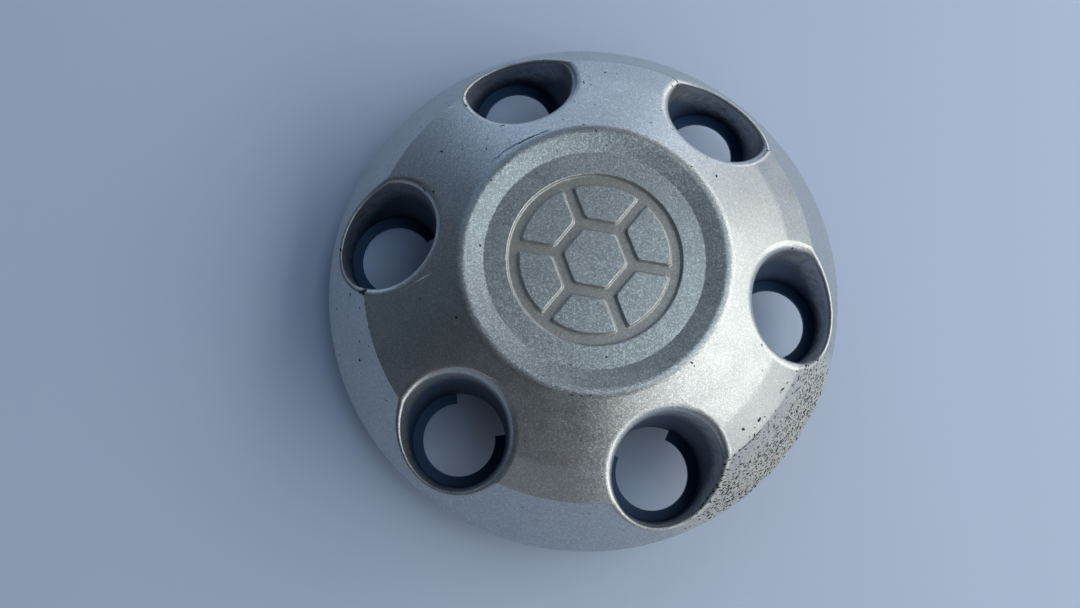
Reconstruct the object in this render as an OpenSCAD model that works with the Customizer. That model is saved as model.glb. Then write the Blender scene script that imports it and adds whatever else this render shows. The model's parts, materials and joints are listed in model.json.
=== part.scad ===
// Six-well truck wheel centre cap, lying face up on its six clip legs.
// Z = 0 is the plane of the clip ends, the cap's axis is the Z axis.

/* [Cap] */
// Radius of the outer rim before its edge is rounded
rim_r = 91.3; // [90.5:0.1:93]
// Height of the rim above the clip ends
rim_z = 21.4; // [20:0.1:23]
// Radius of the sharp crease between skirt and dome
crease_r = 73.1; // [72.5:0.1:73.8]
// Height of the crease
crease_z = 49.3; // [48.5:0.1:50]
// Radius of the soft fold in the dome
fold_r = 63.0; // [61:0.1:64]
// Height of the soft fold
fold_z = 56.2; // [55.6:0.1:56.8]
// Radius of the edge round the centre boss
boss_r = 41.2; // [40:0.1:42]
// Height of the boss's edge before it is rounded
top_z = 68.4; // [67.5:0.1:69.5]
// Radius of the flat centre face
flat_r = 33.5; // [32:0.1:35]
// How far the centre face lies below the edge of the boss
dish = 1.3; // [0.8:0.1:2]
// Wall thickness of the moulding
wall = 2.6; // [2.2:0.1:3]

/* [Wells] */
// Pitch circle of the studs
pcd = 139.7; // [139:0.1:140.4]
// Height of the wells' lower ends
well_z = 10.0; // [9:0.1:11]
// Radius of a well's wall at its lower end
well_r = 16.4; // [16:0.1:16.6]
// Draft of a well's wall, in degrees
well_draft = 2.2; // [1.8:0.1:2.5]
// Lean of a well's axis towards the cap's axis, in degrees
well_lean = 2.1; // [1.8:0.1:2.4]
// Wall thickness of a well
well_wall = 2.3; // [2:0.1:2.6]
// Radius of the hole in a well's flange
nut_r = 12.9; // [12:0.1:13.5]
// Thickness of a well's flange
flange_t = 1.8; // [1.4:0.1:2.4]
// Half angle of the gap in a well's flange, which faces the cap's axis
gap_half = 44; // [40:1:55]
// Length of wall and of skin that a well's rolled lip takes up
lip = 2.9; // [2.4:0.1:3]

/* [Emblem] */
// Outer radius of the ring groove
ring_r = 26.5; // [25:0.1:28]
// Width of every groove
groove_w = 3.6; // [3:0.1:4]
// Depth of every groove
groove_d = 1.1; // [0.8:0.1:1.4]
// Half the distance across the flats of the middle panel
panel_r = 8.4; // [7.5:0.1:9]

/* [Clips] */
// Inner radius of the clip legs
clip_r = 49.4; // [49:0.1:49.6]
// Thickness of a clip leg
clip_t = 2.4; // [2:0.1:2.8]
// Half the angle that a clip leg covers, in degrees
clip_half = 11; // [9:0.5:12]
// How far a clip's bead stands out from its leg
bead = 1.9; // [1.4:0.1:2.4]
// Thickness of the ribs behind the dome
rib_t = 1.8; // [1.4:0.1:2.4]

/* [Hidden] */
wells = 6;
stud_r = pcd / 2;
lip_steps = 36;
arc_steps = 4;
section_n = arc_steps + 3;
$fn = 96;

// Vertex i of path p rounded to radius r, as points along the arc.
function corner_arc(p, i, r, n = 4) =
  let (
    a = (p[i - 1] - p[i]) / norm(p[i - 1] - p[i]),
    b = (p[i + 1] - p[i]) / norm(p[i + 1] - p[i]),
    half = acos(a * b) / 2,
    run = r / tan(half),
    mid = (a + b) / norm(a + b),
    c = p[i] + mid * r / sin(half),
    s = p[i] + a * run - c,
    e = p[i] + b * run - c,
    turn = atan2(s[0] * e[1] - s[1] * e[0], s * e)
  )
  [for (k = [0:n]) let (t = turn * k / n) c + [s[0] * cos(t) - s[1] * sin(t), s[0] * sin(t) + s[1] * cos(t)]];

// Vertex i of path p moved inwards, so that both of its edges move by t.
function inset(p, i, t) =
  let (
    d1 = (p[i] - p[i - 1]) / norm(p[i] - p[i - 1]),
    d2 = (p[i + 1] - p[i]) / norm(p[i + 1] - p[i]),
    n1 = [d1[1], -d1[0]],
    n2 = [d2[1], -d2[0]]
  )
  p[i] + (n1 + n2) * t / (1 + n1 * n2);

// Section of the outer skin, from the axis to the rim.
skin_path = [
  [0, top_z - dish],
  [flat_r, top_z - dish],
  [boss_r, top_z],
  [fold_r, fold_z],
  [crease_r, crease_z],
  [rim_r, rim_z],
  [rim_r + 10, rim_z - 10 * (crease_z - rim_z) / (rim_r - crease_r)],
];
skin = concat(
  [skin_path[0]],
  corner_arc(skin_path, 1, 3, 3),
  corner_arc(skin_path, 2, 1.6, 4),
  corner_arc(skin_path, 3, 60, 4),
  corner_arc(skin_path, 4, 0.8, 3),
  [skin_path[5]]
);
skin_table = concat(skin, [skin_path[6]]);
function skin_z(r) = lookup(r, skin_table);

// Section of the inner skin, from the axis to the rim.
inner = concat(
  [[0, top_z - dish - wall]],
  [for (i = [1:4]) inset(skin_path, i, wall)],
  [[rim_r - wall / sin(atan2(crease_z - rim_z, rim_r - crease_r)), rim_z]]
);

// Point of a well's wall at angle a and height h along its leaning axis.
axis_w = [-sin(well_lean), 0, cos(well_lean)];
axis_u = [cos(well_lean), 0, sin(well_lean)];
function radial(a) = cos(a) * axis_u + [0, sin(a), 0];
function wall_point(a, h) = [stud_r, 0, well_z] + h * axis_w + (well_r + h * tan(well_draft)) * radial(a);
function above_skin(p) = p[2] - skin_z(norm([p[0], p[1]]));

// Height along the axis at which the wall meets the outer skin, found by halving.
function meet(a, lo = 2, hi = 62, i = 24) =
  let (m = (lo + hi) / 2)
  i == 0 ? m : above_skin(wall_point(a, m)) < 0 ? meet(a, m, hi, i - 1) : meet(a, lo, m, i - 1);

// Angle at which the skin leaves corner c, seen in the plane of n and w.
function skin_angle(c, n, w, lo = -88, hi = 75, i = 22) =
  let (m = (lo + hi) / 2)
  i == 0 ? m :
  above_skin(c + lip * (cos(m) * n + sin(m) * w)) < 0 ? skin_angle(c, n, w, m, hi, i - 1) :
  skin_angle(c, n, w, lo, m, i - 1);

// Section of the lip cutter at angle a: the arc from wall to skin, closed above the skin.
function lip_section(a) =
  let (
    c = wall_point(a, meet(a)),
    w = cos(well_draft) * axis_w + sin(well_draft) * radial(a),
    n = cos(well_draft) * radial(a) - sin(well_draft) * axis_w,
    turn = 90 - skin_angle(c, n, w),
    r = lip / tan(turn / 2),
    arc = [
      for (k = [0:arc_steps])
        let (t = turn * k / arc_steps)
        [r * (1 - cos(t)), r * sin(t) - lip]
    ],
    past = 1 + 0.35 / arc[1][0],
    low = arc[1] + past * (arc[0] - arc[1]),
    high = arc[arc_steps - 1] + past * (arc[arc_steps] - arc[arc_steps - 1]),
    flat = concat(
      [low],
      [for (k = [1:arc_steps - 1]) arc[k]],
      [high, [high[0], 7], [-0.35, 7]]
    )
  )
  [for (q = flat) c + q[0] * n + q[1] * w];

// The lip cutter of one well: a closed band whose section changes all the way round.
module lip_cutter() {
  points = [for (i = [0:lip_steps - 1]) each lip_section(360 * (i + 0.5) / lip_steps)];
  faces = [
    for (i = [0:lip_steps - 1], j = [0:section_n - 1])
      let (
        i2 = (i + 1) % lip_steps,
        j2 = (j + 1) % section_n,
        a = i * section_n + j,
        b = i * section_n + j2,
        c = i2 * section_n + j2,
        d = i2 * section_n + j
      )
      each [[a, b, c], [a, c, d]]
  ];
  polyhedron(points, faces);
}

module each_well() {
  for (k = [0:wells - 1])
    rotate([0, 0, k * 360 / wells])
      children();
}

module shell() {
  last = len(inner) - 1;
  edge = corner_arc([skin_path[4], skin_path[5], inner[last]], 1, 0.5, 3);
  rotate_extrude()
    polygon(concat([for (i = [0:len(skin) - 2]) skin[i]], edge, [for (i = [last:-1:0]) inner[i]]));
}

// Everything from the middle of the skin down to the wells' lower ends.
module envelope() {
  mid = concat(
    [[0, top_z - dish - wall / 2]],
    [for (i = [1:4]) inset(skin_path, i, wall / 2)],
    [[rim_r - 1.6, rim_z]]
  );
  rotate_extrude()
    polygon(concat([[0, well_z], [rim_r - 1.6, well_z]], [for (i = [len(mid) - 1:-1:0]) mid[i]]));
}

module leaning_cone(extra, low, high) {
  translate([stud_r, 0, well_z])
    rotate([0, -well_lean, 0])
      translate([0, 0, low])
        cylinder(
          h = high - low,
          r1 = well_r + extra + low * tan(well_draft),
          r2 = well_r + extra + high * tan(well_draft)
        );
}

module tubes() {
  intersection() {
    each_well()
      leaning_cone(well_wall, -4, 62);
    envelope();
  }
}

module bores() {
  intersection() {
    each_well()
      leaning_cone(0, -4, 75);
    translate([-100, -100, well_z + flange_t])
      cube([200, 200, 80]);
  }
}

module flange_hole() {
  translate([stud_r, 0, well_z - 1])
    cylinder(h = flange_t + 2, r = nut_r);
}

module flange_gap() {
  reach = 30;
  side = reach * sin(gap_half);
  intersection() {
    translate([stud_r, 0, well_z - 1])
      linear_extrude(height = flange_t + 2)
        polygon([[0, 0], [-reach * cos(gap_half), side], [-reach * cos(gap_half), -side]]);
    translate([stud_r, 0, well_z - 1])
      cylinder(h = flange_t + 2, r = well_r + 0.4);
  }
}

// One clip leg: an upright arc with a ramped bead near its free end.
module clip() {
  out = clip_r + clip_t;
  rotate([0, 0, 180 / wells - clip_half])
    rotate_extrude(angle = 2 * clip_half)
      polygon([
        [clip_r, skin_z(clip_r) - wall / 2],
        [clip_r, 0.8],
        [clip_r + 0.6, 0],
        [out - 0.4, 0],
        [out + bead, 3.4],
        [out + bead, 4.6],
        [out, 7.2],
        [out, skin_z(out) - wall / 2],
      ]);
}

// One rib behind the dome, from a clip leg to the skirt.
module rib() {
  mid = [for (i = [3:4]) inset(skin_path, i, wall / 2)];
  rotate([0, 0, 180 / wells])
    translate([0, rib_t / 2, 0])
      rotate([90, 0, 0])
        linear_extrude(height = rib_t)
          polygon([
            [clip_r + 1, 34],
            [crease_r - 5, 34],
            [rim_r - 6.4, rim_z + 7],
            [mid[1][0], mid[1][1]],
            [mid[0][0], mid[0][1]],
            [clip_r + 1, skin_z(clip_r + 1) - wall / 2],
          ]);
}

// Plain grooves in the centre face: a ring, a six-sided ring and the six links between them.
module grooves() {
  low = top_z - dish - groove_d;
  high = groove_d + 2;
  corner_r = (panel_r + groove_w) / cos(30);
  translate([0, 0, low]) {
    difference() {
      cylinder(h = high, r = ring_r);
      translate([0, 0, -1])
        cylinder(h = high + 2, r = ring_r - groove_w);
    }
    difference() {
      cylinder(h = high, r = corner_r, $fn = 6);
      translate([0, 0, -1])
        cylinder(h = high + 2, r = panel_r / cos(30), $fn = 6);
    }
    for (k = [0:5])
      rotate([0, 0, 60 * k])
        translate([panel_r + groove_w, -groove_w / 2, 0])
          cube([ring_r - groove_w / 2 - panel_r - groove_w, groove_w, high]);
  }
}

// The whole moulding.
module cap() {
  color("silver")
    difference() {
      union() {
        shell();
        tubes();
        each_well() {
          clip();
          rib();
        }
      }
      bores();
      each_well() {
        flange_hole();
        flange_gap();
        lip_cutter();
      }
      grooves();
    }
}

cap();
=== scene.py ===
"""Looks of a six-well truck wheel centre cap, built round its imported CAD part.

Lengths are in millimetres in the CAD part's frame until a mesh is made: the cap's axis is Z,
Z = 0 is the plane of the clip ends, and the middle of one well lies on +X.
"""

import json
import logging
import math
from collections.abc import Callable, Iterable, Mapping, Sequence
from dataclasses import dataclass, field, replace
from enum import Enum
from functools import partial

import bpy
import numpy as np
from mathutils import Matrix, Vector
from mathutils.bvhtree import BVHTree
from mathutils.geometry import delaunay_2d_cdt

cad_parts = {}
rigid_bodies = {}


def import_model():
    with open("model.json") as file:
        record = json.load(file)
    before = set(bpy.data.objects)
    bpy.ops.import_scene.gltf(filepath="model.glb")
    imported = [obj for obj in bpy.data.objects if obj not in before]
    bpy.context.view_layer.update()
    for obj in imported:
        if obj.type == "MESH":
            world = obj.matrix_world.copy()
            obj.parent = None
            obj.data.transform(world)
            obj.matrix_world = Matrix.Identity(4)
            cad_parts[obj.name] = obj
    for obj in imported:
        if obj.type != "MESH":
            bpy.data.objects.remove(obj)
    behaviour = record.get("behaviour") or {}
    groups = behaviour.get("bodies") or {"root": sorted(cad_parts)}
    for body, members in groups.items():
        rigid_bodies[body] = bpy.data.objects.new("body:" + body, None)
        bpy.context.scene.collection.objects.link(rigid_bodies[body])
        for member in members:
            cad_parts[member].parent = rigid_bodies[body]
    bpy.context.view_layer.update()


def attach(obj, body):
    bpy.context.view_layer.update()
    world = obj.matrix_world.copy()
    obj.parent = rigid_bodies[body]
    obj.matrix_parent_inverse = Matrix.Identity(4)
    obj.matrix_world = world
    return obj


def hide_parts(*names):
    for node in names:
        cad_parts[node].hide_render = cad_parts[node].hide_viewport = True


LOG = logging.getLogger("centre_cap")
MM = 0.001
BODY = "root"
CAD_NODE = "cap"
WELLS = 6
SECTOR = 2 * math.pi / WELLS
# Widest gap in mm between points of the painted skin, and of the bare skin behind it.
PAINTED_GAP, BARE_GAP = 1.05, 2.4
# Under this distance in mm a point counts as lying on a row of the skin.
SAME = 1e-4
# How often a span is halved to find a place in it.
HALVINGS = 44
# Heights in mm along a bore between which it meets every skin.
BORE_SPAN = (2.0, 62.0)
# Angles of the lip's circle between which it crosses the skin.
LIP_SPAN = (math.radians(-88), math.radians(75))
# Angles of the rows that round a quarter turn.
QUARTER = tuple(math.radians(a) for a in (0, 22.5, 45, 67.5, 90))
# Dust on the rows of a groove's side, from its upper edge to its floor.
SETTLED = (0, 0, 0, 0, 0.1, 0.25, 0.5, 0.8, 1, 1)
# Any place on a wave, in radians.
ANY_PHASE = (0, 6.28)

Pair = tuple[float, float]
# A colour and how matt it is.
Look = tuple[str, float]
Line = tuple[float, tuple[Pair, ...]]
Row = tuple[np.ndarray, np.ndarray]
Socket = bpy.types.NodeSocket
AddNode = Callable[..., bpy.types.Node]


class Axis(Enum):
    """How copies of a repeated part are laid out round the cap."""

    ON_WELLS = 0.0
    BETWEEN_WELLS = math.pi / WELLS


class Layer(Enum):
    """Names of the vertex attributes that tell the finishes where they are."""

    PAINT = "paint"
    GROOVE = "groove"
    GRIT = "grit"
    SPECK = "speck"
    # Brown band on the well walls: road soiling, and painted warm reflection.
    GRIME = "grime"
    # Share of the blue painted shade on the bare plastic deep in the wells.
    BORE = "bore"


def linear(hex_colour: str) -> tuple[float, float, float, float]:
    """Turns an sRGB colour into the linear one that a shader takes.

    Args:
        hex_colour: Six hexadecimal digits after a hash.

    Returns:
        Red, green, blue and alpha.
    """
    channels = [int(hex_colour[i : i + 2], 16) / 255 for i in (1, 3, 5)]
    red, green, blue = [c / 12.92 if c <= 0.04045 else ((c + 0.055) / 1.055) ** 2.4 for c in channels]
    return red, green, blue, 1.0


def add_node(
    tree: bpy.types.NodeTree,
    kind: str,
    settings: Mapping[str, object] | None = None,
    inputs: Mapping[str | int, object] | None = None,
) -> bpy.types.Node:
    """Adds one node to a tree, with its settings, values and links.

    Args:
        tree: The tree to add to.
        kind: The node's type name.
        settings: Properties of the node.
        inputs: For a socket's name or number, its value or the output socket that feeds it.

    Returns:
        The new node.
    """
    made = tree.nodes.new(kind)
    for name, value in (settings or {}).items():
        setattr(made, name, value)
    for key, value in (inputs or {}).items():
        socket = made.inputs[key]
        if isinstance(value, bpy.types.NodeSocket):
            tree.links.new(value, socket)
        else:
            socket.default_value = value
    return made


def placed(name: str, data: bpy.types.ID) -> bpy.types.Object:
    """Puts a mesh, a light or a camera into the scene.

    Args:
        name: Name of its object.
        data: The mesh, light or camera.

    Returns:
        The object.
    """
    made = bpy.data.objects.new(name, data)
    bpy.context.scene.collection.objects.link(made)
    return made


def unit(vectors: np.ndarray) -> np.ndarray:
    """Scales each row of an array to length one."""
    return vectors / np.maximum(np.linalg.norm(vectors, axis=-1, keepdims=True), 1e-12)


def directions(angles: np.ndarray) -> np.ndarray:
    """Finds the unit vector in the plane for each angle in radians."""
    return np.column_stack([np.cos(angles), np.sin(angles)])


def lifted(flat: np.ndarray, height: float) -> np.ndarray:
    """Gives vectors in the plane a third coordinate, the same for all."""
    return np.column_stack([flat, np.full(len(flat), height)])


def turn_about_z(angle: float) -> np.ndarray:
    """Makes the matrix that turns points about the cap's axis."""
    c, s = math.cos(angle), math.sin(angle)
    return np.array([[c, -s, 0], [s, c, 0], [0, 0, 1]])


def halved(low: float, high: float, count: int, below: Callable[[np.ndarray], np.ndarray]) -> np.ndarray:
    """Finds by halving where a test changes from true to false.

    Args:
        low: A value at which it is true.
        high: A value at which it is false.
        count: How many places are looked for at once.
        below: The test, which takes one value for each place.

    Returns:
        The value at which it changes, for each place.
    """
    lows, highs = np.full(count, low), np.full(count, high)
    for _ in range(HALVINGS):
        middle = (lows + highs) / 2
        still = below(middle)
        lows, highs = np.where(still, middle, lows), np.where(still, highs, middle)
    return (lows + highs) / 2


def smooth_step(low: float, high: float, values: np.ndarray) -> np.ndarray:
    """Grades values from 0 at low to 1 at high, smoothly at both ends."""
    t = np.clip((values - low) / (high - low), 0, 1)
    return t * t * (3 - 2 * t)


def rounded_path(corners: Sequence[Pair], radii: Sequence[float], steps: Sequence[int]) -> np.ndarray:
    """Rounds the inner corners of an open path.

    Args:
        corners: The path's corners.
        radii: A radius for each inner corner, 0 for a sharp one.
        steps: How many pieces each rounding has.

    Returns:
        Rows of two coordinates and the unit normal on the left of the path.
    """
    path = np.array(corners, float)
    runs = unit(np.diff(path, axis=0))
    normals = np.stack([-runs[:, 1], runs[:, 0]], -1)
    rows = [np.concatenate([path[0], normals[0]])]
    for i, (radius, count) in enumerate(zip(radii, steps, strict=True), start=1):
        before, after = runs[i - 1], runs[i]
        turn = math.atan2(before[0] * after[1] - before[1] * after[0], float(before @ after))
        start = path[i] - before * radius * math.tan(abs(turn) / 2)
        for k in range(count + 1):
            a = turn * k / count
            turned = np.array([[math.cos(a), -math.sin(a)], [math.sin(a), math.cos(a)]]) @ normals[i - 1]
            side = math.copysign(radius, turn)
            rows.append(np.concatenate([start + side * (normals[i - 1] - turned), turned]))
    rows.append(np.concatenate([path[-1], normals[-1]]))
    return np.array(rows)


@dataclass(frozen=True)
class Section:
    """A section of a skin from the axis outwards.

    Args:
        corners: Radius and height of each corner.
        radii: Rounding of each inner corner.
        steps: Pieces in each rounding.
        spacing: Widest gap between two rows.
    """

    corners: tuple[Pair, ...]
    radii: tuple[float, ...]
    steps: tuple[int, ...]
    spacing: float

    def rows(self) -> np.ndarray:
        """Finds the rows of the skin.

        Returns:
            Rows of radius, height and the upper side's unit normal.
        """
        path = rounded_path(self.corners, self.radii, self.steps)
        out = [path[0]]
        for a, b in zip(path[:-1], path[1:], strict=True):
            count = max(1, math.ceil(np.linalg.norm(b[:2] - a[:2]) / self.spacing))
            out += [a + (b - a) * k / count for k in range(1, count + 1)]
        table = np.array(out)
        table[:, 2:] = unit(table[:, 2:])
        return table

    def normal(self, points: np.ndarray) -> np.ndarray:
        """Finds which way the skin faces.

        Args:
            points: Points on the skin.

        Returns:
            Unit normals.
        """
        rows = self.rows()
        radius = np.hypot(points[:, 0], points[:, 1])
        level = np.interp(radius, rows[:, 0], rows[:, 2]) / radius
        up = np.interp(radius, rows[:, 0], rows[:, 3])
        return unit(np.column_stack([points[:, 0] * level, points[:, 1] * level, up]))

    def height(self, radius: np.ndarray) -> np.ndarray:
        """Finds the skin's height, continued in a straight line past its ends.

        Args:
            radius: Distances from the axis.

        Returns:
            The heights.
        """
        path = rounded_path(self.corners, self.radii, self.steps)
        (r0, z0), (r1, z1) = path[-2, :2], path[-1, :2]
        past = z1 + (radius - r1) * (z1 - z0) / (r1 - r0)
        return np.where(radius > r1, past, np.interp(radius, path[:, 0], path[:, 1]))

    def covers(self, points: np.ndarray) -> np.ndarray:
        """Tells which points lie below the skin."""
        return points[:, 2] < self.height(np.hypot(points[:, 0], points[:, 1]))


@dataclass(frozen=True)
class CapShape:
    """The driving dimensions, the same as in the CAD source, and what follows from them."""

    rim_r: float = 91.3
    rim_z: float = 21.4
    crease: Pair = (73.1, 49.3)
    fold: Pair = (63.0, 56.2)
    boss_r: float = 41.2
    top_z: float = 68.4
    flat_r: float = 33.5
    dish: float = 1.3
    wall: float = 2.6
    stud_r: float = 139.7 / 2
    well_z: float = 10.0
    well_r: float = 16.4
    draft: float = math.radians(2.2)
    lean: float = math.radians(2.1)
    well_wall: float = 2.3
    nut_r: float = 12.9
    flange_t: float = 1.8
    gap_half: float = math.radians(44)
    lip: float = 2.9
    ring_r: float = 26.5
    groove_w: float = 3.6
    groove_d: float = 1.1
    panel_r: float = 8.4
    clip_r: float = 49.4
    clip_t: float = 2.4
    clip_half: float = math.radians(11)
    bead: float = 1.9
    rib_t: float = 1.8
    edge: float = 0.35
    groove_round: float = 0.65
    rim_edge: float = 0.5
    soft_in: float = 0.43
    soft_up: float = 0.16

    @property
    def face_z(self) -> float:
        """Height of the centre face."""
        return self.top_z - self.dish

    @property
    def skin_corners(self) -> list[Pair]:
        """Corners of the outer skin from the axis to the rim."""
        return [
            (0.0, self.face_z),
            (self.flat_r, self.face_z),
            (self.boss_r, self.top_z),
            self.fold,
            self.crease,
            (self.rim_r, self.rim_z),
        ]

    def inset(self, index: int, depth: float) -> Pair:
        """Moves a corner of the skin inwards.

        Args:
            index: The corner.
            depth: How far both of its sides move.

        Returns:
            The moved corner.
        """
        path = np.array(self.skin_corners)
        before, after = unit(path[index] - path[index - 1]), unit(path[index + 1] - path[index])
        n1, n2 = np.array([before[1], -before[0]]), np.array([after[1], -after[0]])
        moved = path[index] + (n1 + n2) * depth / (1 + float(n1 @ n2))
        return float(moved[0]), float(moved[1])

    @property
    def rim_inner(self) -> Pair:
        """Inner corner of the rim's lower edge."""
        slope = math.atan2(self.crease[1] - self.rim_z, self.rim_r - self.crease[0])
        return self.rim_r - self.wall / math.sin(slope), self.rim_z

    def outer_skin(self) -> Section:
        """Section of the painted skin, from the face's ring groove to the rim's rounded edge.

        Returns:
            The section.
        """
        # The boss edge is softly rounded. Its corner stands a little in and up, so that the rounding
        # keeps the CAD's height.
        soft_edge = (self.boss_r - self.soft_in, self.top_z + self.soft_up)
        start = (self.ring_r + self.edge, self.face_z)
        corners = (start, self.skin_corners[1], soft_edge, *self.skin_corners[3:])
        return Section(corners, radii=(2, 5.0, 26, 0.8), steps=(3, 10, 5, 3), spacing=PAINTED_GAP)

    def inner_skin(self) -> Section:
        """Section of the bare skin behind the painted one.

        Returns:
            The section.
        """
        inner = [self.inset(i, self.wall) for i in range(1, 5)]
        corners = ((0.0, self.face_z - self.wall), *inner, self.rim_inner)
        return Section(corners, radii=(2, 3, 30, 3), steps=(2, 3, 3, 3), spacing=BARE_GAP)


@dataclass
class Patchwork:
    """Points, faces, normals and attributes gathered for one mesh."""

    points: list[np.ndarray] = field(default_factory=list)
    normals: list[np.ndarray] = field(default_factory=list)
    layers: dict[Layer, list[np.ndarray]] = field(default_factory=lambda: {layer: [] for layer in Layer})
    faces: list[tuple[int, ...]] = field(default_factory=list)
    count: int = 0

    def add(
        self,
        points: np.ndarray,
        normals: np.ndarray,
        faces: Iterable[Sequence[int]],
        values: Mapping[Layer, np.ndarray | float] | None = None,
    ) -> None:
        """Adds a patch.

        Args:
            points: Its points in millimetres.
            normals: A normal for each point, out of the material.
            faces: Its faces, in numbers of its own points.
            values: Attribute values, 0 where left out.
        """
        base = self.count
        self.points.append(points)
        self.normals.append(unit(normals))
        for layer in Layer:
            value = (values or {}).get(layer, 0.0)
            self.layers[layer].append(np.broadcast_to(np.asarray(value, float), (len(points),)))
        self.faces += [tuple(base + i for i in face) for face in faces]
        self.count += len(points)

    def add_rows(self, rows: Sequence[Row], values: Mapping[Layer, np.ndarray | float] | None = None) -> None:
        """Adds a closed band of quads from the points and normals of its rows."""
        points, normals = np.concatenate([p for p, _ in rows]), np.concatenate([n for _, n in rows])
        self.add(points, normals, grid_faces(len(rows[0][0]), len(rows), True), values)

    def turned(self, copies: int) -> "Patchwork":
        """Repeats everything round the cap's axis.

        Args:
            copies: How many, evenly spaced.

        Returns:
            A new patchwork.
        """
        out = Patchwork()
        points, normals = np.concatenate(self.points), np.concatenate(self.normals)
        values = {layer: np.concatenate(parts) for layer, parts in self.layers.items()}
        for k in range(copies):
            turn = turn_about_z(2 * math.pi * k / copies)
            out.add(points @ turn.T, normals @ turn.T, self.faces, values)
        return out

    def build(self, name: str) -> bpy.types.Object:
        """Welds the patches and makes them an object with faces that point out of the material.

        Args:
            name: Name of the object and of its mesh.

        Returns:
            The object, in metres.
        """
        points, normals = np.concatenate(self.points), np.concatenate(self.normals)
        _, first, place = np.unique(np.round(points, 4), axis=0, return_index=True, return_inverse=True)
        place = place.reshape(-1)
        shared = np.zeros((len(first), 3))
        np.add.at(shared, place, normals)
        shared = unit(shared)
        welded = points[first]
        faces = []
        for face in self.faces:
            loop = [int(place[i]) for i in face]
            loop = [v for i, v in enumerate(loop) if v != loop[i - 1]]
            if len(set(loop)) < 3:
                continue
            a, b, c = welded[loop[0]], welded[loop[len(loop) // 3]], welded[loop[2 * len(loop) // 3]]
            if float(np.cross(b - a, c - a) @ shared[loop].sum(0)) < 0:
                loop.reverse()
            faces.append(loop)
        mesh = bpy.data.meshes.new(name)
        mesh.from_pydata((welded * MM).tolist(), [], faces)
        for layer, parts in self.layers.items():
            attribute = mesh.attributes.new(layer.value, "FLOAT", "POINT")
            attribute.data.foreach_set("value", np.concatenate(parts)[first].astype(np.float32))
        mesh.shade_smooth()
        mesh.normals_split_custom_set_from_vertices(shared.tolist())
        mesh.validate()
        return placed(name, mesh)


def grid_faces(columns: int, rows: int, closed: bool) -> list[tuple[int, int, int, int]]:
    """Lists the quads of a grid whose points run row by row.

    Args:
        columns: Points in a row.
        rows: Number of rows.
        closed: Whether the last column joins the first.

    Returns:
        The quads.
    """
    last = columns if closed else columns - 1
    return [
        (j + i, j + (i + 1) % columns, j + columns + (i + 1) % columns, j + columns + i)
        for j in range(0, (rows - 1) * columns, columns)
        for i in range(last)
    ]


def in_polygon(points: np.ndarray, loop: np.ndarray) -> np.ndarray:
    """Tells which points lie inside a closed outline.

    Args:
        points: One point a row.
        loop: The outline's corners.

    Returns:
        True for each point inside.
    """
    hit = np.zeros(len(points), bool)
    for (x1, y1), (x2, y2) in zip(loop, np.roll(loop, -1, axis=0), strict=True):
        crosses = (y1 > points[:, 1]) != (y2 > points[:, 1])
        at = (x2 - x1) * (points[:, 1] - y1) / (y2 - y1 if y2 != y1 else 1e-12) + x1
        hit ^= crosses & (points[:, 0] < at)
    return hit


def triangulate(
    points: np.ndarray, edges: Iterable[tuple[int, int]], holes: Sequence[np.ndarray]
) -> tuple[np.ndarray, np.ndarray]:
    """Fills a plane region with well-shaped triangles that keep the given edges.

    Args:
        points: The points in the plane.
        edges: Pairs of point numbers that have to stay edges.
        holes: Outlines that stay empty.

    Returns:
        The points and the triangles.
    """
    found = delaunay_2d_cdt([Vector(p) for p in points], list(edges), [], 0, 1e-7)
    flat = np.array([tuple(p) for p in found[0]])
    triangles = np.array([tuple(t) for t in found[2]])
    middles = flat[triangles].mean(1)
    one, two = flat[triangles[:, 1]] - flat[triangles[:, 0]], flat[triangles[:, 2]] - flat[triangles[:, 0]]
    longest = np.maximum(np.linalg.norm(one, axis=1), np.linalg.norm(two, axis=1))
    empty = np.abs(one[:, 0] * two[:, 1] - one[:, 1] * two[:, 0]) < 1e-5 * longest
    for hole in holes:
        empty |= in_polygon(middles, hole)
    return flat, triangles[~empty]


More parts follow.
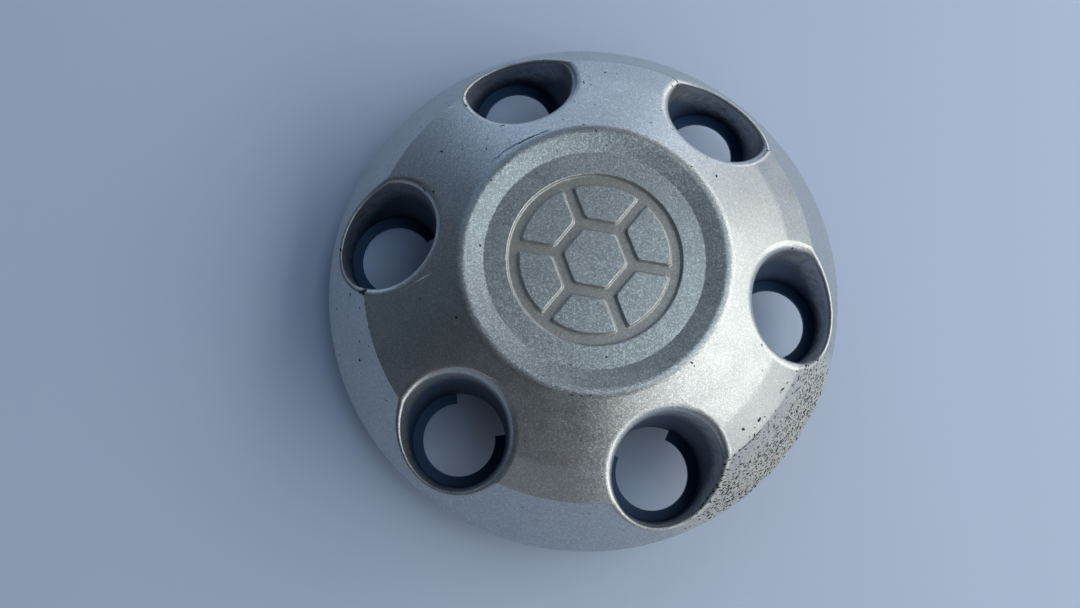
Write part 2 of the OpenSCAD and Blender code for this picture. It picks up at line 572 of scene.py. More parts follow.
@dataclass(frozen=True)
class Well:
    """One wheel-nut well on +X: a leaning drafted bore that meets the skin in a rolled lip."""

    shape: CapShape

    @property
    def axis(self) -> np.ndarray:
        """The bore's own upward direction."""
        return np.array([-math.sin(self.shape.lean), 0.0, math.cos(self.shape.lean)])

    def radial(self, angle: np.ndarray) -> np.ndarray:
        """Directions square to the bore's axis, by angle from the side away from the cap's axis."""
        lean = self.shape.lean
        return np.stack([np.cos(angle) * math.cos(lean), np.sin(angle), np.cos(angle) * math.sin(lean)], -1)

    def wall_point(self, angle: np.ndarray, height: np.ndarray, extra: float = 0.0) -> np.ndarray:
        """Points of the bore's wall.

        Args:
            angle: Angles round the bore.
            height: Heights along the bore's axis.
            extra: How far outside the bore's own wall.

        Returns:
            A point for each angle.
        """
        base = np.array([self.shape.stud_r, 0, self.shape.well_z])
        reach = self.shape.well_r + extra + height * math.tan(self.shape.draft)
        return base + height[..., None] * self.axis + reach[..., None] * self.radial(angle)

    def frame(self, angle: np.ndarray) -> tuple[np.ndarray, np.ndarray]:
        """Directions out of the wall and along it.

        Args:
            angle: Angles round the bore.

        Returns:
            The normals into the material, and the wall's upward directions.
        """
        draft, radial = self.shape.draft, self.radial(angle)
        return (
            math.cos(draft) * radial - math.sin(draft) * self.axis,
            math.cos(draft) * self.axis + math.sin(draft) * radial,
        )

    def meet(self, angle: np.ndarray, skin: Section, extra: float = 0.0) -> np.ndarray:
        """Heights along the bore at which its wall, or what lies extra mm outside it, meets a skin."""
        return halved(*BORE_SPAN, len(angle), lambda h: skin.covers(self.wall_point(angle, h, extra)))

    def lip_turn(self, angle: np.ndarray, skin: Section) -> tuple[np.ndarray, np.ndarray]:
        """Corners between wall and skin, and how far the lip turns to round each.

        Args:
            angle: Angles round the bore.
            skin: The painted skin.

        Returns:
            The corners, and the turns in radians.
        """
        corner = self.wall_point(angle, self.meet(angle, skin))
        n, w = self.frame(angle)

        def on_circle(tip: np.ndarray) -> np.ndarray:
            """Points at the lip's distance from the corner."""
            return corner + self.shape.lip * (np.cos(tip)[:, None] * n + np.sin(tip)[:, None] * w)

        crossing = halved(*LIP_SPAN, len(angle), lambda tip: skin.covers(on_circle(tip)))
        return corner, math.pi / 2 - crossing

    def lip_rows(self, angle: np.ndarray, skin: Section, steps: int) -> list[Row]:
        """Rows of the rolled lip, from the skin over to the wall.

        Args:
            angle: Angles round the bore.
            skin: The painted skin.
            steps: Pieces of the lip's arc.

        Returns:
            Points and normals of each row.
        """
        corner, turn = self.lip_turn(angle, skin)
        n, w = self.frame(angle)
        lip = self.shape.lip
        radius = lip / np.tan(turn / 2)
        rows = []
        for k in range(steps, -1, -1):
            t = turn * k / steps
            across, up = radius * (1 - np.cos(t)), radius * np.sin(t) - lip
            points = corner + across[:, None] * n + up[:, None] * w
            rolled = np.sin(t)[:, None] * w - np.cos(t)[:, None] * n
            flooded = (k / steps) ** 3  # paint fills the bend where the roll runs out into the skin
            rows.append((points, unit((1 - flooded) * rolled + flooded * skin.normal(points))))
        return rows

    def angles_for(self, radii: np.ndarray, outline: "WellOutline") -> np.ndarray:
        """Angles for an outline's columns, so that each row of the skin ends on one of them.

        Args:
            radii: Radii of the skin's rows.
            outline: Finds the outline's points for given angles.

        Returns:
            Sorted angles in one full turn.
        """
        samples, margin, closest = 2001, 0.05, 0.45
        dense = np.linspace(0, math.pi, samples)
        reach = np.linalg.norm(outline.points(dense)[:, :2], axis=1)
        inside = [r for r in radii if reach.min() + margin < r < reach.max() - margin]
        fixed = np.interp(inside, reach[::-1], dense[::-1])
        even = np.linspace(0, math.pi, outline.columns // 2 + 1)
        gap = closest * (even[1] - even[0])
        kept = [a for a in even if a in (even[0], even[-1]) or np.abs(fixed - a).min() > gap]
        half = np.unique(np.concatenate([kept, fixed]))
        return np.concatenate([half, (2 * math.pi - half[1:-1])[::-1]])


@dataclass(frozen=True)
class WellOutline:
    """The closed line on a skin at which a well's opening starts.

    Args:
        well: The well.
        skin: The skin that it opens in.
        columns: How many even columns the line has before rows are fitted to it.
        extra: For the inner skin, how far the tube's outside lies from the bore.
        rolled: Whether a rolled lip lies between skin and wall.
    """

    well: Well
    skin: Section
    columns: int
    extra: float
    rolled: bool

    def points(self, angle: np.ndarray) -> np.ndarray:
        """Points of the line.

        Args:
            angle: Angles round the bore.

        Returns:
            A point for each angle.
        """
        if self.rolled:
            return self.well.lip_rows(angle, self.skin, 1)[0][0]
        return self.well.wall_point(angle, self.well.meet(angle, self.skin, self.extra), self.extra)


@dataclass
class SkinSector:
    """One sixth of a skin, with a hole for its well.

    Args:
        section: The skin's section.
        outline: The well's opening in it.
        spacing: Distance between columns.
    """

    section: Section
    outline: WellOutline
    spacing: float

    def ring(self, radius: float) -> np.ndarray:
        """Angles of the points in one row of the sector.

        Args:
            radius: The row's radius.

        Returns:
            Angles from one side of the sector to the other.
        """
        if radius < 1e-9:
            return np.array([0.0])
        count = max(1, math.ceil(radius * SECTOR / self.spacing))
        return np.linspace(-SECTOR / 2, SECTOR / 2, count + 1)

    def fill(self) -> tuple[np.ndarray, np.ndarray, np.ndarray]:
        """Fills the sector with triangles.

        Returns:
            Its points, its upward normals and its triangles.
        """
        rows = self.section.rows()
        crowded = 0.3 * self.spacing
        angle = self.outline.well.angles_for(rows[:, 0], self.outline)
        loop = self.outline.points(angle)[:, :2]
        reach, bearing = np.linalg.norm(loop, axis=1), np.arctan2(loop[:, 1], loop[:, 0])
        points = [tuple(p) for p in loop]
        edges = [(i, (i + 1) % len(loop)) for i in range(len(loop))]
        for radius in rows[:, 0]:
            on_row = np.where(np.abs(reach - radius) < SAME)[0]
            side = {sign: [i for i in on_row if sign * bearing[i] > 1e-9] for sign in (-1, 1)}
            row = radius * directions(self.ring(radius))
            dropped = np.linalg.norm(row[:, None] - loop[None], axis=2).min(1) < crowded
            dropped |= in_polygon(row, loop)
            previous = None
            for p, skip in zip(row, dropped, strict=True):
                if skip:
                    if previous is not None and side[-1]:
                        edges.append((previous, int(side[-1][0])))
                    previous = int(side[1][0]) if side[1] else None
                    continue
                points.append((float(p[0]), float(p[1])))
                here = len(points) - 1
                if previous is not None:
                    edges.append((previous, here))
                previous = here
        given = np.array(points)
        for sign in (-1, 1):
            off = given @ np.array([-sign * math.sin(SECTOR / 2), math.cos(SECTOR / 2)])
            line = np.where(np.abs(off) < 1e-6)[0]
            line = line[np.argsort(np.linalg.norm(given[line], axis=1))]
            edges += [(int(a), int(b)) for a, b in zip(line[:-1], line[1:], strict=True)]
        flat, triangles = triangulate(given, edges, [loop])
        on_start = np.abs(np.linalg.norm(flat, axis=1) - rows[0, 0]) < SAME
        triangles = triangles[~on_start[triangles].all(1)]
        radius = np.linalg.norm(flat, axis=1)
        away = flat / np.maximum(radius, 1e-9)[:, None]
        height = np.interp(radius, rows[:, 0], rows[:, 1])
        out, up = np.interp(radius, rows[:, 0], rows[:, 2]), np.interp(radius, rows[:, 0], rows[:, 3])
        normals = np.column_stack([away * out[:, None], up])
        return np.column_stack([flat, height]), normals, triangles


@dataclass
class FaceGrooves:
    """Plain grooves in the centre face: a ring, a six-sided ring and six links between them.

    Args:
        shape: The cap's dimensions.
        columns: Points round each panel between the grooves.
        blend: Width over which two sides of a panel merge.
        panel_middle: Distance from the axis of a point well inside an outer panel.
        reach: A distance that lies outside every panel, from that point.
    """

    shape: CapShape
    columns: int = 108
    blend: float = 0.9
    panel_middle: float = 17.2
    reach: float = 20.0

    def _soft_max(self, parts: Sequence[np.ndarray]) -> np.ndarray:
        """Joins the sides of an outline with rounded corners.

        Args:
            parts: Signed distances to the sides, positive outside.

        Returns:
            The signed distance to the rounded outline.
        """
        out = parts[0]
        for part in parts[1:]:
            near = np.maximum(self.blend - np.abs(out - part), 0)
            out = np.maximum(out, part) + near**2 / (4 * self.blend)
        return out

    def _middle(self, p: np.ndarray) -> np.ndarray:
        """Signed distance to the outline of the six-sided middle panel.

        Args:
            p: Points in the plane of the face.

        Returns:
            A distance for each point.
        """
        sides = [
            p[:, 0] * math.cos(a) + p[:, 1] * math.sin(a) - self.shape.panel_r
            for a in (math.radians(30 + 60 * k) for k in range(6))
        ]
        return self._soft_max(sides)

    def _outer(self, p: np.ndarray) -> np.ndarray:
        """Signed distance to the outline of the outer panel that lies on +X.

        Args:
            p: Points in the plane of the face.

        Returns:
            A distance for each point.
        """
        half = self.shape.groove_w / 2
        sides = [
            self.shape.panel_r + self.shape.groove_w - p[:, 0],
            half - 0.5 * p[:, 0] + math.sqrt(0.75) * p[:, 1],
            half - 0.5 * p[:, 0] - math.sqrt(0.75) * p[:, 1],
            np.hypot(p[:, 0], p[:, 1]) - (self.shape.ring_r - self.shape.groove_w),
        ]
        return self._soft_max(sides)

    def _panel(self, outer: bool) -> list[Row]:
        """Rows of a panel from the floor of the groove up to the panel's top.

        Args:
            outer: An outer panel on +X, or the middle one.

        Returns:
            Points and normals of each row.
        """
        distance = self._outer if outer else self._middle
        centre = np.array([self.panel_middle, 0.0]) if outer else np.zeros(2)
        ray = directions(np.linspace(0, 2 * math.pi, self.columns, endpoint=False))
        edge, low_r = self.shape.edge, self.shape.groove_round
        top, floor = self.shape.face_z, self.shape.face_z - self.shape.groove_d
        stations = [(low_r * (1 - math.sin(a)), floor + low_r * (1 - math.cos(a)), a) for a in QUARTER]
        stations += [
            (-edge * (1 - math.cos(a)), top - edge * (1 - math.sin(a)), math.pi / 2 - a) for a in QUARTER
        ]
        rows = []
        for offset, height, tilt in stations:
            found = halved(
                0.0,
                self.reach,
                self.columns,
                lambda length, level=offset: distance(centre + length[:, None] * ray) < level,
            )
            flat = centre + found[:, None] * ray
            here, nudge = distance(flat), 1e-4
            out = unit(np.column_stack([distance(flat + step) - here for step in nudge * np.eye(2)]))
            rows.append((lifted(flat, height), lifted(out * math.sin(tilt), math.cos(tilt))))
        return rows

    def add_to(self, work: Patchwork, ring_angles: np.ndarray) -> None:
        """Adds panels, the ring groove's outer wall and the grooves' floor.

        Args:
            work: The patchwork to add to.
            ring_angles: Angles of the skin's innermost points, all the way round.
        """
        edge, low_r = self.shape.edge, self.shape.groove_round
        top, floor = self.shape.face_z, self.shape.face_z - self.shape.groove_d
        ring_r = self.shape.ring_r
        stations = [(ring_r + edge * (1 - math.sin(a)), top - edge * (1 - math.cos(a)), a) for a in QUARTER]
        stations += [
            (ring_r - low_r * (1 - math.cos(a)), floor + low_r * (1 - math.sin(a)), math.pi / 2 - a)
            for a in QUARTER
        ]
        away, count = directions(ring_angles), len(ring_angles)
        rows = [(lifted(r * away, z), lifted(-away * math.sin(t), math.cos(t))) for r, z, t in stations]
        work.add_rows(rows, {Layer.PAINT: 1.0, Layer.GROOVE: np.repeat(SETTLED, count)})
        outlines = []
        for k in range(7):
            rows = self._panel(outer=k < 6)
            turn = turn_about_z(math.radians(30 + 60 * k) if k < 6 else 0.0)
            points = np.concatenate([p for p, _ in rows]) @ turn.T
            normals = np.concatenate([n for _, n in rows]) @ turn.T
            dusty = {Layer.PAINT: 1.0, Layer.GROOVE: np.repeat(SETTLED[::-1], self.columns)}
            work.add(points, normals, grid_faces(self.columns, len(rows), True), dusty)
            crown = points[-self.columns :]
            middle = np.vstack([crown, crown.mean(0)])
            fan = [(i, (i + 1) % self.columns, self.columns) for i in range(self.columns)]
            work.add(middle, np.tile([0.0, 0.0, 1.0], (len(middle), 1)), fan, {Layer.PAINT: 1.0})
            outlines.append(points[: self.columns, :2])
        rim = away * (self.shape.ring_r - low_r)
        flat, edges = [rim], [(i, (i + 1) % count) for i in range(count)]
        base = count
        for outline in outlines:
            flat.append(outline)
            edges += [(base + i, base + (i + 1) % len(outline)) for i in range(len(outline))]
            base += len(outline)
        filled, triangles = triangulate(np.concatenate(flat), edges, outlines)
        up = np.tile([0.0, 0.0, 1.0], (len(filled), 1))
        work.add(lifted(filled, floor), up, triangles.tolist(), {Layer.PAINT: 1.0, Layer.GROOVE: 1.0})


@dataclass(frozen=True)
class Zone:
    """A part of the skin that fades in and out at its borders.

    Args:
        bearing: Degrees from +X at which it starts, is full, starts to fade and has ended.
        radius: Distances from the axis at which it starts and is full.
    """

    bearing: tuple[float, float, float, float]
    radius: Pair

    def cover(self, points: np.ndarray) -> np.ndarray:
        """Finds how far points are in the zone.

        Args:
            points: Points of the skin.

        Returns:
            A value from 0 to 1 for each point.
        """
        bearing = np.degrees(np.arctan2(points[:, 1], points[:, 0])) % 360
        start, full, fade, end = self.bearing
        around = smooth_step(start, full, bearing) * (1 - smooth_step(fade, end, bearing))
        return around * smooth_step(*self.radius, np.hypot(points[:, 0], points[:, 1]))


@dataclass
class Moulding:
    """The cap's skin, wells and centre face as one closed mesh.

    Args:
        shape: The cap's dimensions.
        well_columns: Points round a well's lip and wall.
        tube_columns: Points round a tube where it meets the inner skin.
        lip_steps: Rows of a lip.
        wall_steps: Rows of a well's wall.
        tube_steps: Rows of a tube's outside.
        rim_steps: Pieces of the rim's rounded edge.
        end_z: Height at which a tube's lower end starts to round off.
        end_round: Radius of that rounding, and how far in and down its middle lies.
        bore_shade_share: How much of the blue painted shade the bare plastic of the bores takes.
        paint_lost: How much of the paint is missing deep in a well.
        paint_fades: Depths under the lip between which it gets less.
        brown_band_depths: Depths under the lip at which the brown band, road soiling and painted warm
            reflection, starts, is full, starts to fade and ends.
        gritty: Where road grit has pitted the paint, each zone with its share of the density.
        speckled: Where fine dark specks are thick.
        least_specks: Share of the specks that is found everywhere.
        grit_ends: Distances from the axis between which the pits run out at the rim.
        specks_end: The same for the specks.
    """

    shape: CapShape
    well_columns: int = 132
    tube_columns: int = 72
    lip_steps: int = 10
    wall_steps: int = 14
    tube_steps: int = 8
    rim_steps: int = 6
    end_z: float = 0.4
    end_round: tuple[float, float, float] = (0.4, 0.12, 0.28)
    # Bare bore walls take this share of the blue painted shade.
    bore_shade_share: float = 0.45
    paint_lost: float = 0.9
    paint_fades: Pair = (0.5, 20.0)
    brown_band_depths: tuple[float, float, float, float] = (1.0, 5.0, 9.0, 20.0)
    gritty: tuple[tuple[float, Zone], ...] = (
        (0.32, Zone((298, 313, 346, 354), (72.6, 73.4))),
        (0.68, Zone((298, 313, 346, 354), (74.5, 82))),
    )
    speckled: tuple[Zone, ...] = (
        Zone((88, 100, 150, 165), (42, 46)),
        Zone((183, 192, 212, 222), (73, 76)),
        Zone((312, 320, 340, 346), (60, 66)),
    )
    least_specks: float = 0.18
    grit_ends: Pair = (90.2, 90.7)
    specks_end: Pair = (90.0, 90.6)

    def _paint_depth(self, points: np.ndarray, mouth: np.ndarray) -> np.ndarray:
        """How much paint reached points of a wall, given the height of the lip above each."""
        return 1 - self.paint_lost * smooth_step(*self.paint_fades, mouth - points[:, 2])

    def _grime(self, points: np.ndarray, mouth: np.ndarray) -> np.ndarray:
        """How much of the brown band lies on points of a wall, given the height of the lip above: road
        soiling and painted warm reflection.
        """
        depth, (start, full, fade, end) = mouth - points[:, 2], self.brown_band_depths
        return smooth_step(start, full, depth) * (1 - smooth_step(fade, end, depth))

    def _well(self, well: Well, painted: SkinSector, bare: SkinSector, work: Patchwork) -> None:
        """Adds lip, wall, lower end and outside of one well.

        Args:
            well: The well on +X.
            painted: The outer skin's sector.
            bare: The inner skin's sector.
            work: The patchwork to add to.
        """
        top = well.angles_for(painted.section.rows()[:, 0], painted.outline)
        n, _ = well.frame(top)
        lip = well.lip_rows(top, painted.section, self.lip_steps)
        mouth = lip[0][0][:, 2]
        start = well.meet(top, painted.section) - self.shape.lip
        lean, draft, steps = self.shape.lean, self.shape.draft, self.wall_steps
        tilt = np.cos(top) * math.sin(lean)
        end = (self.end_z - self.shape.well_r * tilt) / (math.cos(lean) + math.tan(draft) * tilt)
        heights = [start + (end - start) * k / steps for k in range(1, steps + 1)]
        walls = [(well.wall_point(top, height), -n) for height in heights]
        in_lip = len(top) * len(lip)
        layers = {
            Layer.PAINT: np.concatenate([np.ones(in_lip), *[self._paint_depth(p, mouth) for p, _ in walls]]),
            # Brown band on the walls: road soiling, and painted warm reflection.
            Layer.GRIME: np.concatenate([np.zeros(in_lip), *[self._grime(p, mouth) for p, _ in walls]]),
            # Well walls take part of the blue painted shade.
            Layer.BORE: self.bore_shade_share,
        }
        work.add_rows(lip + walls, layers)
        low, wall = walls[-1][0], self.shape.well_wall
        out = unit(np.column_stack([n[:, :2], np.zeros(len(top))]))
        full, part_in, part_down = self.end_round
        edges = (
            (part_in, part_down, 45),
            (full, full, 90),
            (wall - full, full, 90),
            (wall - part_in, part_down, 135),
        )
        ending, up = [(low, -out)], np.array([0, 0, 1.0])
        for across, down, tip in edges:
            t = math.radians(tip)
            ending.append((low + across * out - down * up, -math.cos(t) * out - math.sin(t) * up))
        ending.append((well.wall_point(top, end, wall), n))
        work.add_rows(ending)
        bottom = well.angles_for(bare.section.rows()[:, 0], bare.outline)
        self._outside(well, top, bottom, end, bare, work)

    def _outside(
        self,
        well: Well,
        top: np.ndarray,
        bottom: np.ndarray,
        end: np.ndarray,
        bare: SkinSector,
        work: Patchwork,
    ) -> None:
        """Adds the tube's outside, whose two ends have different columns.

        Args:
            well: The well on +X.
            top: Angles at the well's lower end.
            bottom: Angles where the tube meets the inner skin.
            end: Height along the bore of the lower end, for each of the first angles.
            bare: The inner skin's sector.
            work: The patchwork to add to.
        """
        extra, full, steps = self.shape.well_wall, 2 * math.pi, self.tube_steps
        meets = well.meet(bottom, bare.section, extra)
        ends = np.interp(bottom, np.append(top, full), np.append(end, end[0]))
        angle = np.concatenate([top, *[bottom] * steps])
        height = np.concatenate([end, *[ends + (meets - ends) * k / steps for k in range(1, steps + 1)]])
        upper = grid_faces(len(bottom), steps, True)
        faces = [tuple(i + len(top) for i in quad) for quad in upper]
        # Triangles join the two lowest rows, always from the row whose next point comes first.
        next_top, next_low = [*top[1:], full, math.inf], [*bottom[1:], full, math.inf]
        i = j = 0
        while i < len(top) or j < len(bottom):
            a, b = i % len(top), len(top) + j % len(bottom)
            if next_top[i] <= next_low[j]:
                i += 1
                faces.append((a, i % len(top), b))
            else:
                j += 1
                faces.append((a, len(top) + j % len(bottom), b))
        normals, _ = well.frame(angle)
        work.add(well.wall_point(angle, height, extra), normals, faces)

    def _rim(self, painted: SkinSector, bare: SkinSector, work: Patchwork) -> None:
        """Closes the lower edge between the two skins, over one sector.

        Args:
            painted: The outer skin's sector.
            bare: The inner skin's sector.
            work: The patchwork to add to.
        """
        outer, inner = painted.section.rows()[-1], bare.section.rows()[-1]
        many, few = painted.ring(outer[0]), bare.ring(inner[0])
        rim_z, last_strip, underneath = self.shape.rim_z, 0.4, -0.5
        turn_in = (float(inner[0]) + last_strip, rim_z)
        path = [(float(outer[0]), float(outer[1])), (self.shape.rim_r, rim_z), turn_in]
        corner = rounded_path(path, (self.shape.rim_edge,), (self.rim_steps,))
        rows = np.vstack([corner, [inner[0], rim_z, 0.0, -1.0]])
        ring = directions(many)
        points = [lifted(ring * r, z) for r, z, _, _ in rows[:-1]]
        normals = [lifted(ring * out, up) for _, _, out, up in rows[:-1]]
        cover = [np.full(len(many), 1.0 if up > underneath else 0.0) for _, _, _, up in rows[:-1]]
        faces: list[tuple[int, ...]] = list(grid_faces(len(many), len(rows) - 1, False))
        last = len(many) * (len(rows) - 2)
        base = len(many) * (len(rows) - 1)
        points.append(lifted(directions(few) * rows[-1, 0], rows[-1, 1]))
        normals.append(np.tile([0.0, 0.0, -1.0], (len(few), 1)))
        cover.append(np.zeros(len(few)))
        i = j = 0
        while i < len(many) - 1 or j < len(few) - 1:
            if j == len(few) - 1 or (i < len(many) - 1 and many[i + 1] <= few[j + 1]):
                faces.append((last + i, last + i + 1, base + j))
                i += 1
            else:
                faces.append((last + i, base + j + 1, base + j))
                j += 1
        work.add(np.concatenate(points), np.concatenate(normals), faces, {Layer.PAINT: np.concatenate(cover)})

    def _grit(self, points: np.ndarray) -> np.ndarray:
        """Tells where road grit has pitted the paint, up to just short of the rim's edge."""
        clear_of_edge = 1 - smooth_step(*self.grit_ends, np.hypot(points[:, 0], points[:, 1]))
        return sum(share * zone.cover(points) for share, zone in self.gritty) * clear_of_edge

    def _speck(self, points: np.ndarray) -> np.ndarray:
        """Tells where fine dark specks sit: thick in some zones and thin on the rest.

        Args:
            points: Points of the painted skin.

        Returns:
            Density from 0 to 1.
        """
        clear_of_edge = 1 - smooth_step(*self.specks_end, np.hypot(points[:, 0], points[:, 1]))
        thickest = np.max([zone.cover(points) for zone in self.speckled], axis=0)
        return np.maximum(self.least_specks, thickest) * clear_of_edge

    def build(self) -> bpy.types.Object:
        """Builds the closed mesh.

        Returns:
            The cap's object.
        """
        well = Well(self.shape)
        outer, inner = self.shape.outer_skin(), self.shape.inner_skin()
        path = [self.shape.crease, (self.shape.rim_r, self.shape.rim_z), self.shape.rim_inner]
        rim = rounded_path(path, (self.shape.rim_edge,), (self.rim_steps,))
        outer = replace(outer, corners=(*outer.corners[:-1], (float(rim[1, 0]), float(rim[1, 1]))))
        opening = WellOutline(well, outer, self.well_columns, 0.0, rolled=True)
        behind = WellOutline(well, inner, self.tube_columns, self.shape.well_wall, rolled=False)
        painted, bare = SkinSector(outer, opening, PAINTED_GAP), SkinSector(inner, behind, BARE_GAP)
        sixth = Patchwork()
        points, normals, triangles = painted.fill()
        sixth.add(points, normals, triangles.tolist(), {Layer.PAINT: 1.0})
        points, normals, triangles = bare.fill()
        sixth.add(points, -normals, triangles.tolist())
        self._well(well, painted, bare, sixth)
        self._rim(painted, bare, sixth)
        whole = sixth.turned(WELLS)
        ring = painted.ring(outer.corners[0][0])[:-1]
        angles = np.concatenate([ring + SECTOR * k for k in range(WELLS)])
        FaceGrooves(self.shape).add_to(whole, angles)
        whole_cover = 0.99
        painted_parts = [paint > whole_cover for paint in whole.layers[Layer.PAINT]]
        for layer, spread in ((Layer.GRIT, self._grit), (Layer.SPECK, self._speck)):
            whole.layers[layer] = [spread(p) * on for p, on in zip(whole.points, painted_parts, strict=True)]
        made = whole.build("cap_shell")
        LOG.info("%s: %d points, %d faces", made.name, len(made.data.vertices), len(made.data.polygons))
        return made


@dataclass(frozen=True)
class SweptPart:
    """A small part whose rounded section runs along a straight line or round an axis.

    Args:
        name: Its name.
        corners: The section's corners, anticlockwise, as distance outwards and height.
        radius: Rounding of the section's corners.
        start: Where the sweep starts, in mm or in radians.
        end: Where it ends.
        pieces: Pieces along the sweep.
        centre: For a sweep round an upright axis, that axis's place on X.
        paint: How much paint covers it.
        bore: How much of the bores' blue painted shade it takes.
        corner_steps: Faces round each corner of the section.
        end_round: Rounding of the sweep's ends, as a part of the radius.
    """

    name: str
    corners: tuple[Pair, ...]
    radius: float
    start: float
    end: float
    pieces: int
    centre: float | None
    paint: float = 0.0
    bore: float = 0.0
    corner_steps: int = 4
    end_round: float = 0.8

    def _section(self) -> np.ndarray:
        """Rounds the closed section.

        Returns:
            Rows of two coordinates and the outward normal.
        """
        ring = list(self.corners)
        opened = [((ring[-1][0] + ring[0][0]) / 2, (ring[-1][1] + ring[0][1]) / 2)]
        radii, steps = [self.radius] * len(ring), [self.corner_steps] * len(ring)
        path = rounded_path([*opened, *ring, *opened], radii, steps)[:-1]
        path[:, 2:] *= -1
        return path

    def _place(self, along: float, flat: np.ndarray, normal: np.ndarray, tilt: float) -> Row:
        """Carries a station of the section into place.

        Args:
            along: Where on the sweep.
            flat: The section's points.
            normal: Their outward normals in the section.
            tilt: Part of the normal that points along the sweep.

        Returns:
            Points and normals.
        """
        level = math.sqrt(max(0.0, 1 - tilt * tilt))
        if self.centre is None:
            points = np.column_stack([flat[:, 0], np.full(len(flat), along), flat[:, 1]])
            out, up = normal[:, 0] * level, normal[:, 1] * level
            return points, np.column_stack([out, np.full(len(flat), tilt), up])
        c, d = math.cos(along), math.sin(along)
        points = np.column_stack([self.centre + flat[:, 0] * c, flat[:, 0] * d, flat[:, 1]])
        x, y = normal[:, 0] * level * c - tilt * d, normal[:, 0] * level * d + tilt * c
        return points, np.column_stack([x, y, normal[:, 1] * level])

    def build(self, turn: float = 0.0) -> bpy.types.Object:
        """Builds one copy.

        Args:
            turn: Angle about the cap's axis by which it is turned.

        Returns:
            The object.
        """
        section = self._section()
        flat, normal = section[:, :2], section[:, 2:]
        reach = 1.0 if self.centre is None else float(np.mean(np.abs(flat[:, 0])))
        edge, eighths = self.end_round * self.radius, (0, math.pi / 4, math.pi / 2)
        ends = [(edge * (1 - math.cos(a)), edge * (1 - math.sin(a)), math.cos(a)) for a in eighths]
        stations = [(self.start + along / reach, inset, -tilt) for along, inset, tilt in ends]
        inner_start, inner_end = self.start + edge / reach, self.end - edge / reach
        run = inner_end - inner_start
        stations += [(inner_start + run * k / self.pieces, 0.0, 0.0) for k in range(1, self.pieces)]
        stations += [(self.end - along / reach, inset, tilt) for along, inset, tilt in reversed(ends)]
        work = Patchwork()
        bands = [self._place(along, flat - normal * inset, normal, tilt) for along, inset, tilt in stations]
        points, normals = np.concatenate([p for p, _ in bands]), np.concatenate([n for _, n in bands])
        count = len(flat)
        faces: list[tuple[int, ...]] = list(grid_faces(count, len(stations), True))
        faces += [tuple(range(count)), tuple(range(len(points) - count, len(points)))]
        spin = turn_about_z(turn)
        work.add(points @ spin.T, normals @ spin.T, faces, {Layer.PAINT: self.paint, Layer.BORE: self.bore})
        return work.build(self.name)


def small_parts(shape: CapShape) -> list[tuple[SweptPart, Axis]]:
    """Lists what repeats once a well: flange, clip leg and rib.

    Args:
        shape: The cap's dimensions.

    Returns:
        Each part with where its copies lie.
    """
    skin = shape.outer_skin()
    leg_out = shape.clip_r + shape.clip_t

    def middle(radius: float) -> float:
        """Height of the middle of the skin's thickness, at a distance from the axis."""
        return float(skin.height(np.array(radius))) - shape.wall / 2

    # Each part ends inside the shell's material, so that no gap shows at its root.
    root, underside, upper = shape.well_r + 0.9, shape.well_z + 0.03, shape.well_z + shape.flange_t
    flange = SweptPart(
        "flanges",
        ((shape.nut_r, underside), (root, underside), (root, upper), (shape.nut_r, upper)),
        radius=0.3,
        start=shape.gap_half - math.pi,
        end=math.pi - shape.gap_half,
        pieces=72,
        centre=shape.stud_r,
        paint=0.05,
        # The flanges deep in the wells take the blue painted shade in full.
        bore=1.0,
    )
    # A leg's free end is narrow, then a bead with a ramp below and above stands out from it.
    toe_in, toe_out, toe_z = 0.6, 0.4, 0.8
    bead_low, bead_high, bead_top = 3.4, 4.6, 7.2
    clip = SweptPart(
        "clips",
        (
            (shape.clip_r, toe_z),
            (shape.clip_r + toe_in, 0.0),
            (leg_out - toe_out, 0.0),
            (leg_out + shape.bead, bead_low),
            (leg_out + shape.bead, bead_high),
            (leg_out, bead_top),
            (leg_out, middle(leg_out)),
            (shape.clip_r, middle(shape.clip_r)),
        ),
        radius=0.25,
        start=-shape.clip_half,
        end=shape.clip_half,
        pieces=16,
        centre=0.0,
    )
    fold, crease = shape.inset(3, shape.wall / 2), shape.inset(4, shape.wall / 2)
    start, low = shape.clip_r + 1, 34.0
    foot = (shape.rim_r - 6.4, shape.rim_z + 7)
    rib = SweptPart(
        "ribs",
        ((start, low), (shape.crease[0] - 5, low), foot, crease, fold, (start, middle(start))),
        radius=0.25,
        start=-shape.rib_t / 2,
        end=shape.rib_t / 2,
        pieces=2,
        centre=None,
    )
    return [(flange, Axis.ON_WELLS), (clip, Axis.BETWEEN_WELLS), (rib, Axis.BETWEEN_WELLS)]


@dataclass(frozen=True)
class Surface:
    """The painted surface, on which marks are laid."""

    tree: BVHTree
    skin: Section

    @classmethod
    def of(cls, shell: bpy.types.Object, skin: Section) -> "Surface":
        """Reads the finished shell, a mesh in metres, as a surface in millimetres."""
        corners = [v.co / MM for v in shell.data.vertices]
        return cls(BVHTree.FromPolygons(corners, [tuple(p.vertices) for p in shell.data.polygons]), skin)

    def under(self, radius: float, bearing: float) -> tuple[np.ndarray, np.ndarray]:
        """Finds the surface nearest to a place on the skin's section.

        Args:
            radius: Distance from the cap's axis.
            bearing: Direction from the axis in degrees.

        Returns:
            The point and its normal.
        """
        a = math.radians(bearing)
        height = float(self.skin.height(np.array(radius)))
        guess = Vector((radius * math.cos(a), radius * math.sin(a), height))
        point, normal, _, _ = self.tree.find_nearest(guess)
        return np.array(point), np.array(normal)

    def laid(self, points: np.ndarray, lift: np.ndarray) -> Row:
        """Moves points onto the surface.

        Args:
            points: The points.
            lift: Height of each above the surface.

        Returns:
            The moved points, and the surface's normals there.
        """
        found = [self.tree.find_nearest(Vector(p))[:2] for p in points]
        normals = np.array([tuple(n) for _, n in found])
        return np.array([tuple(q) for q, _ in found]) + normals * lift[:, None], normals


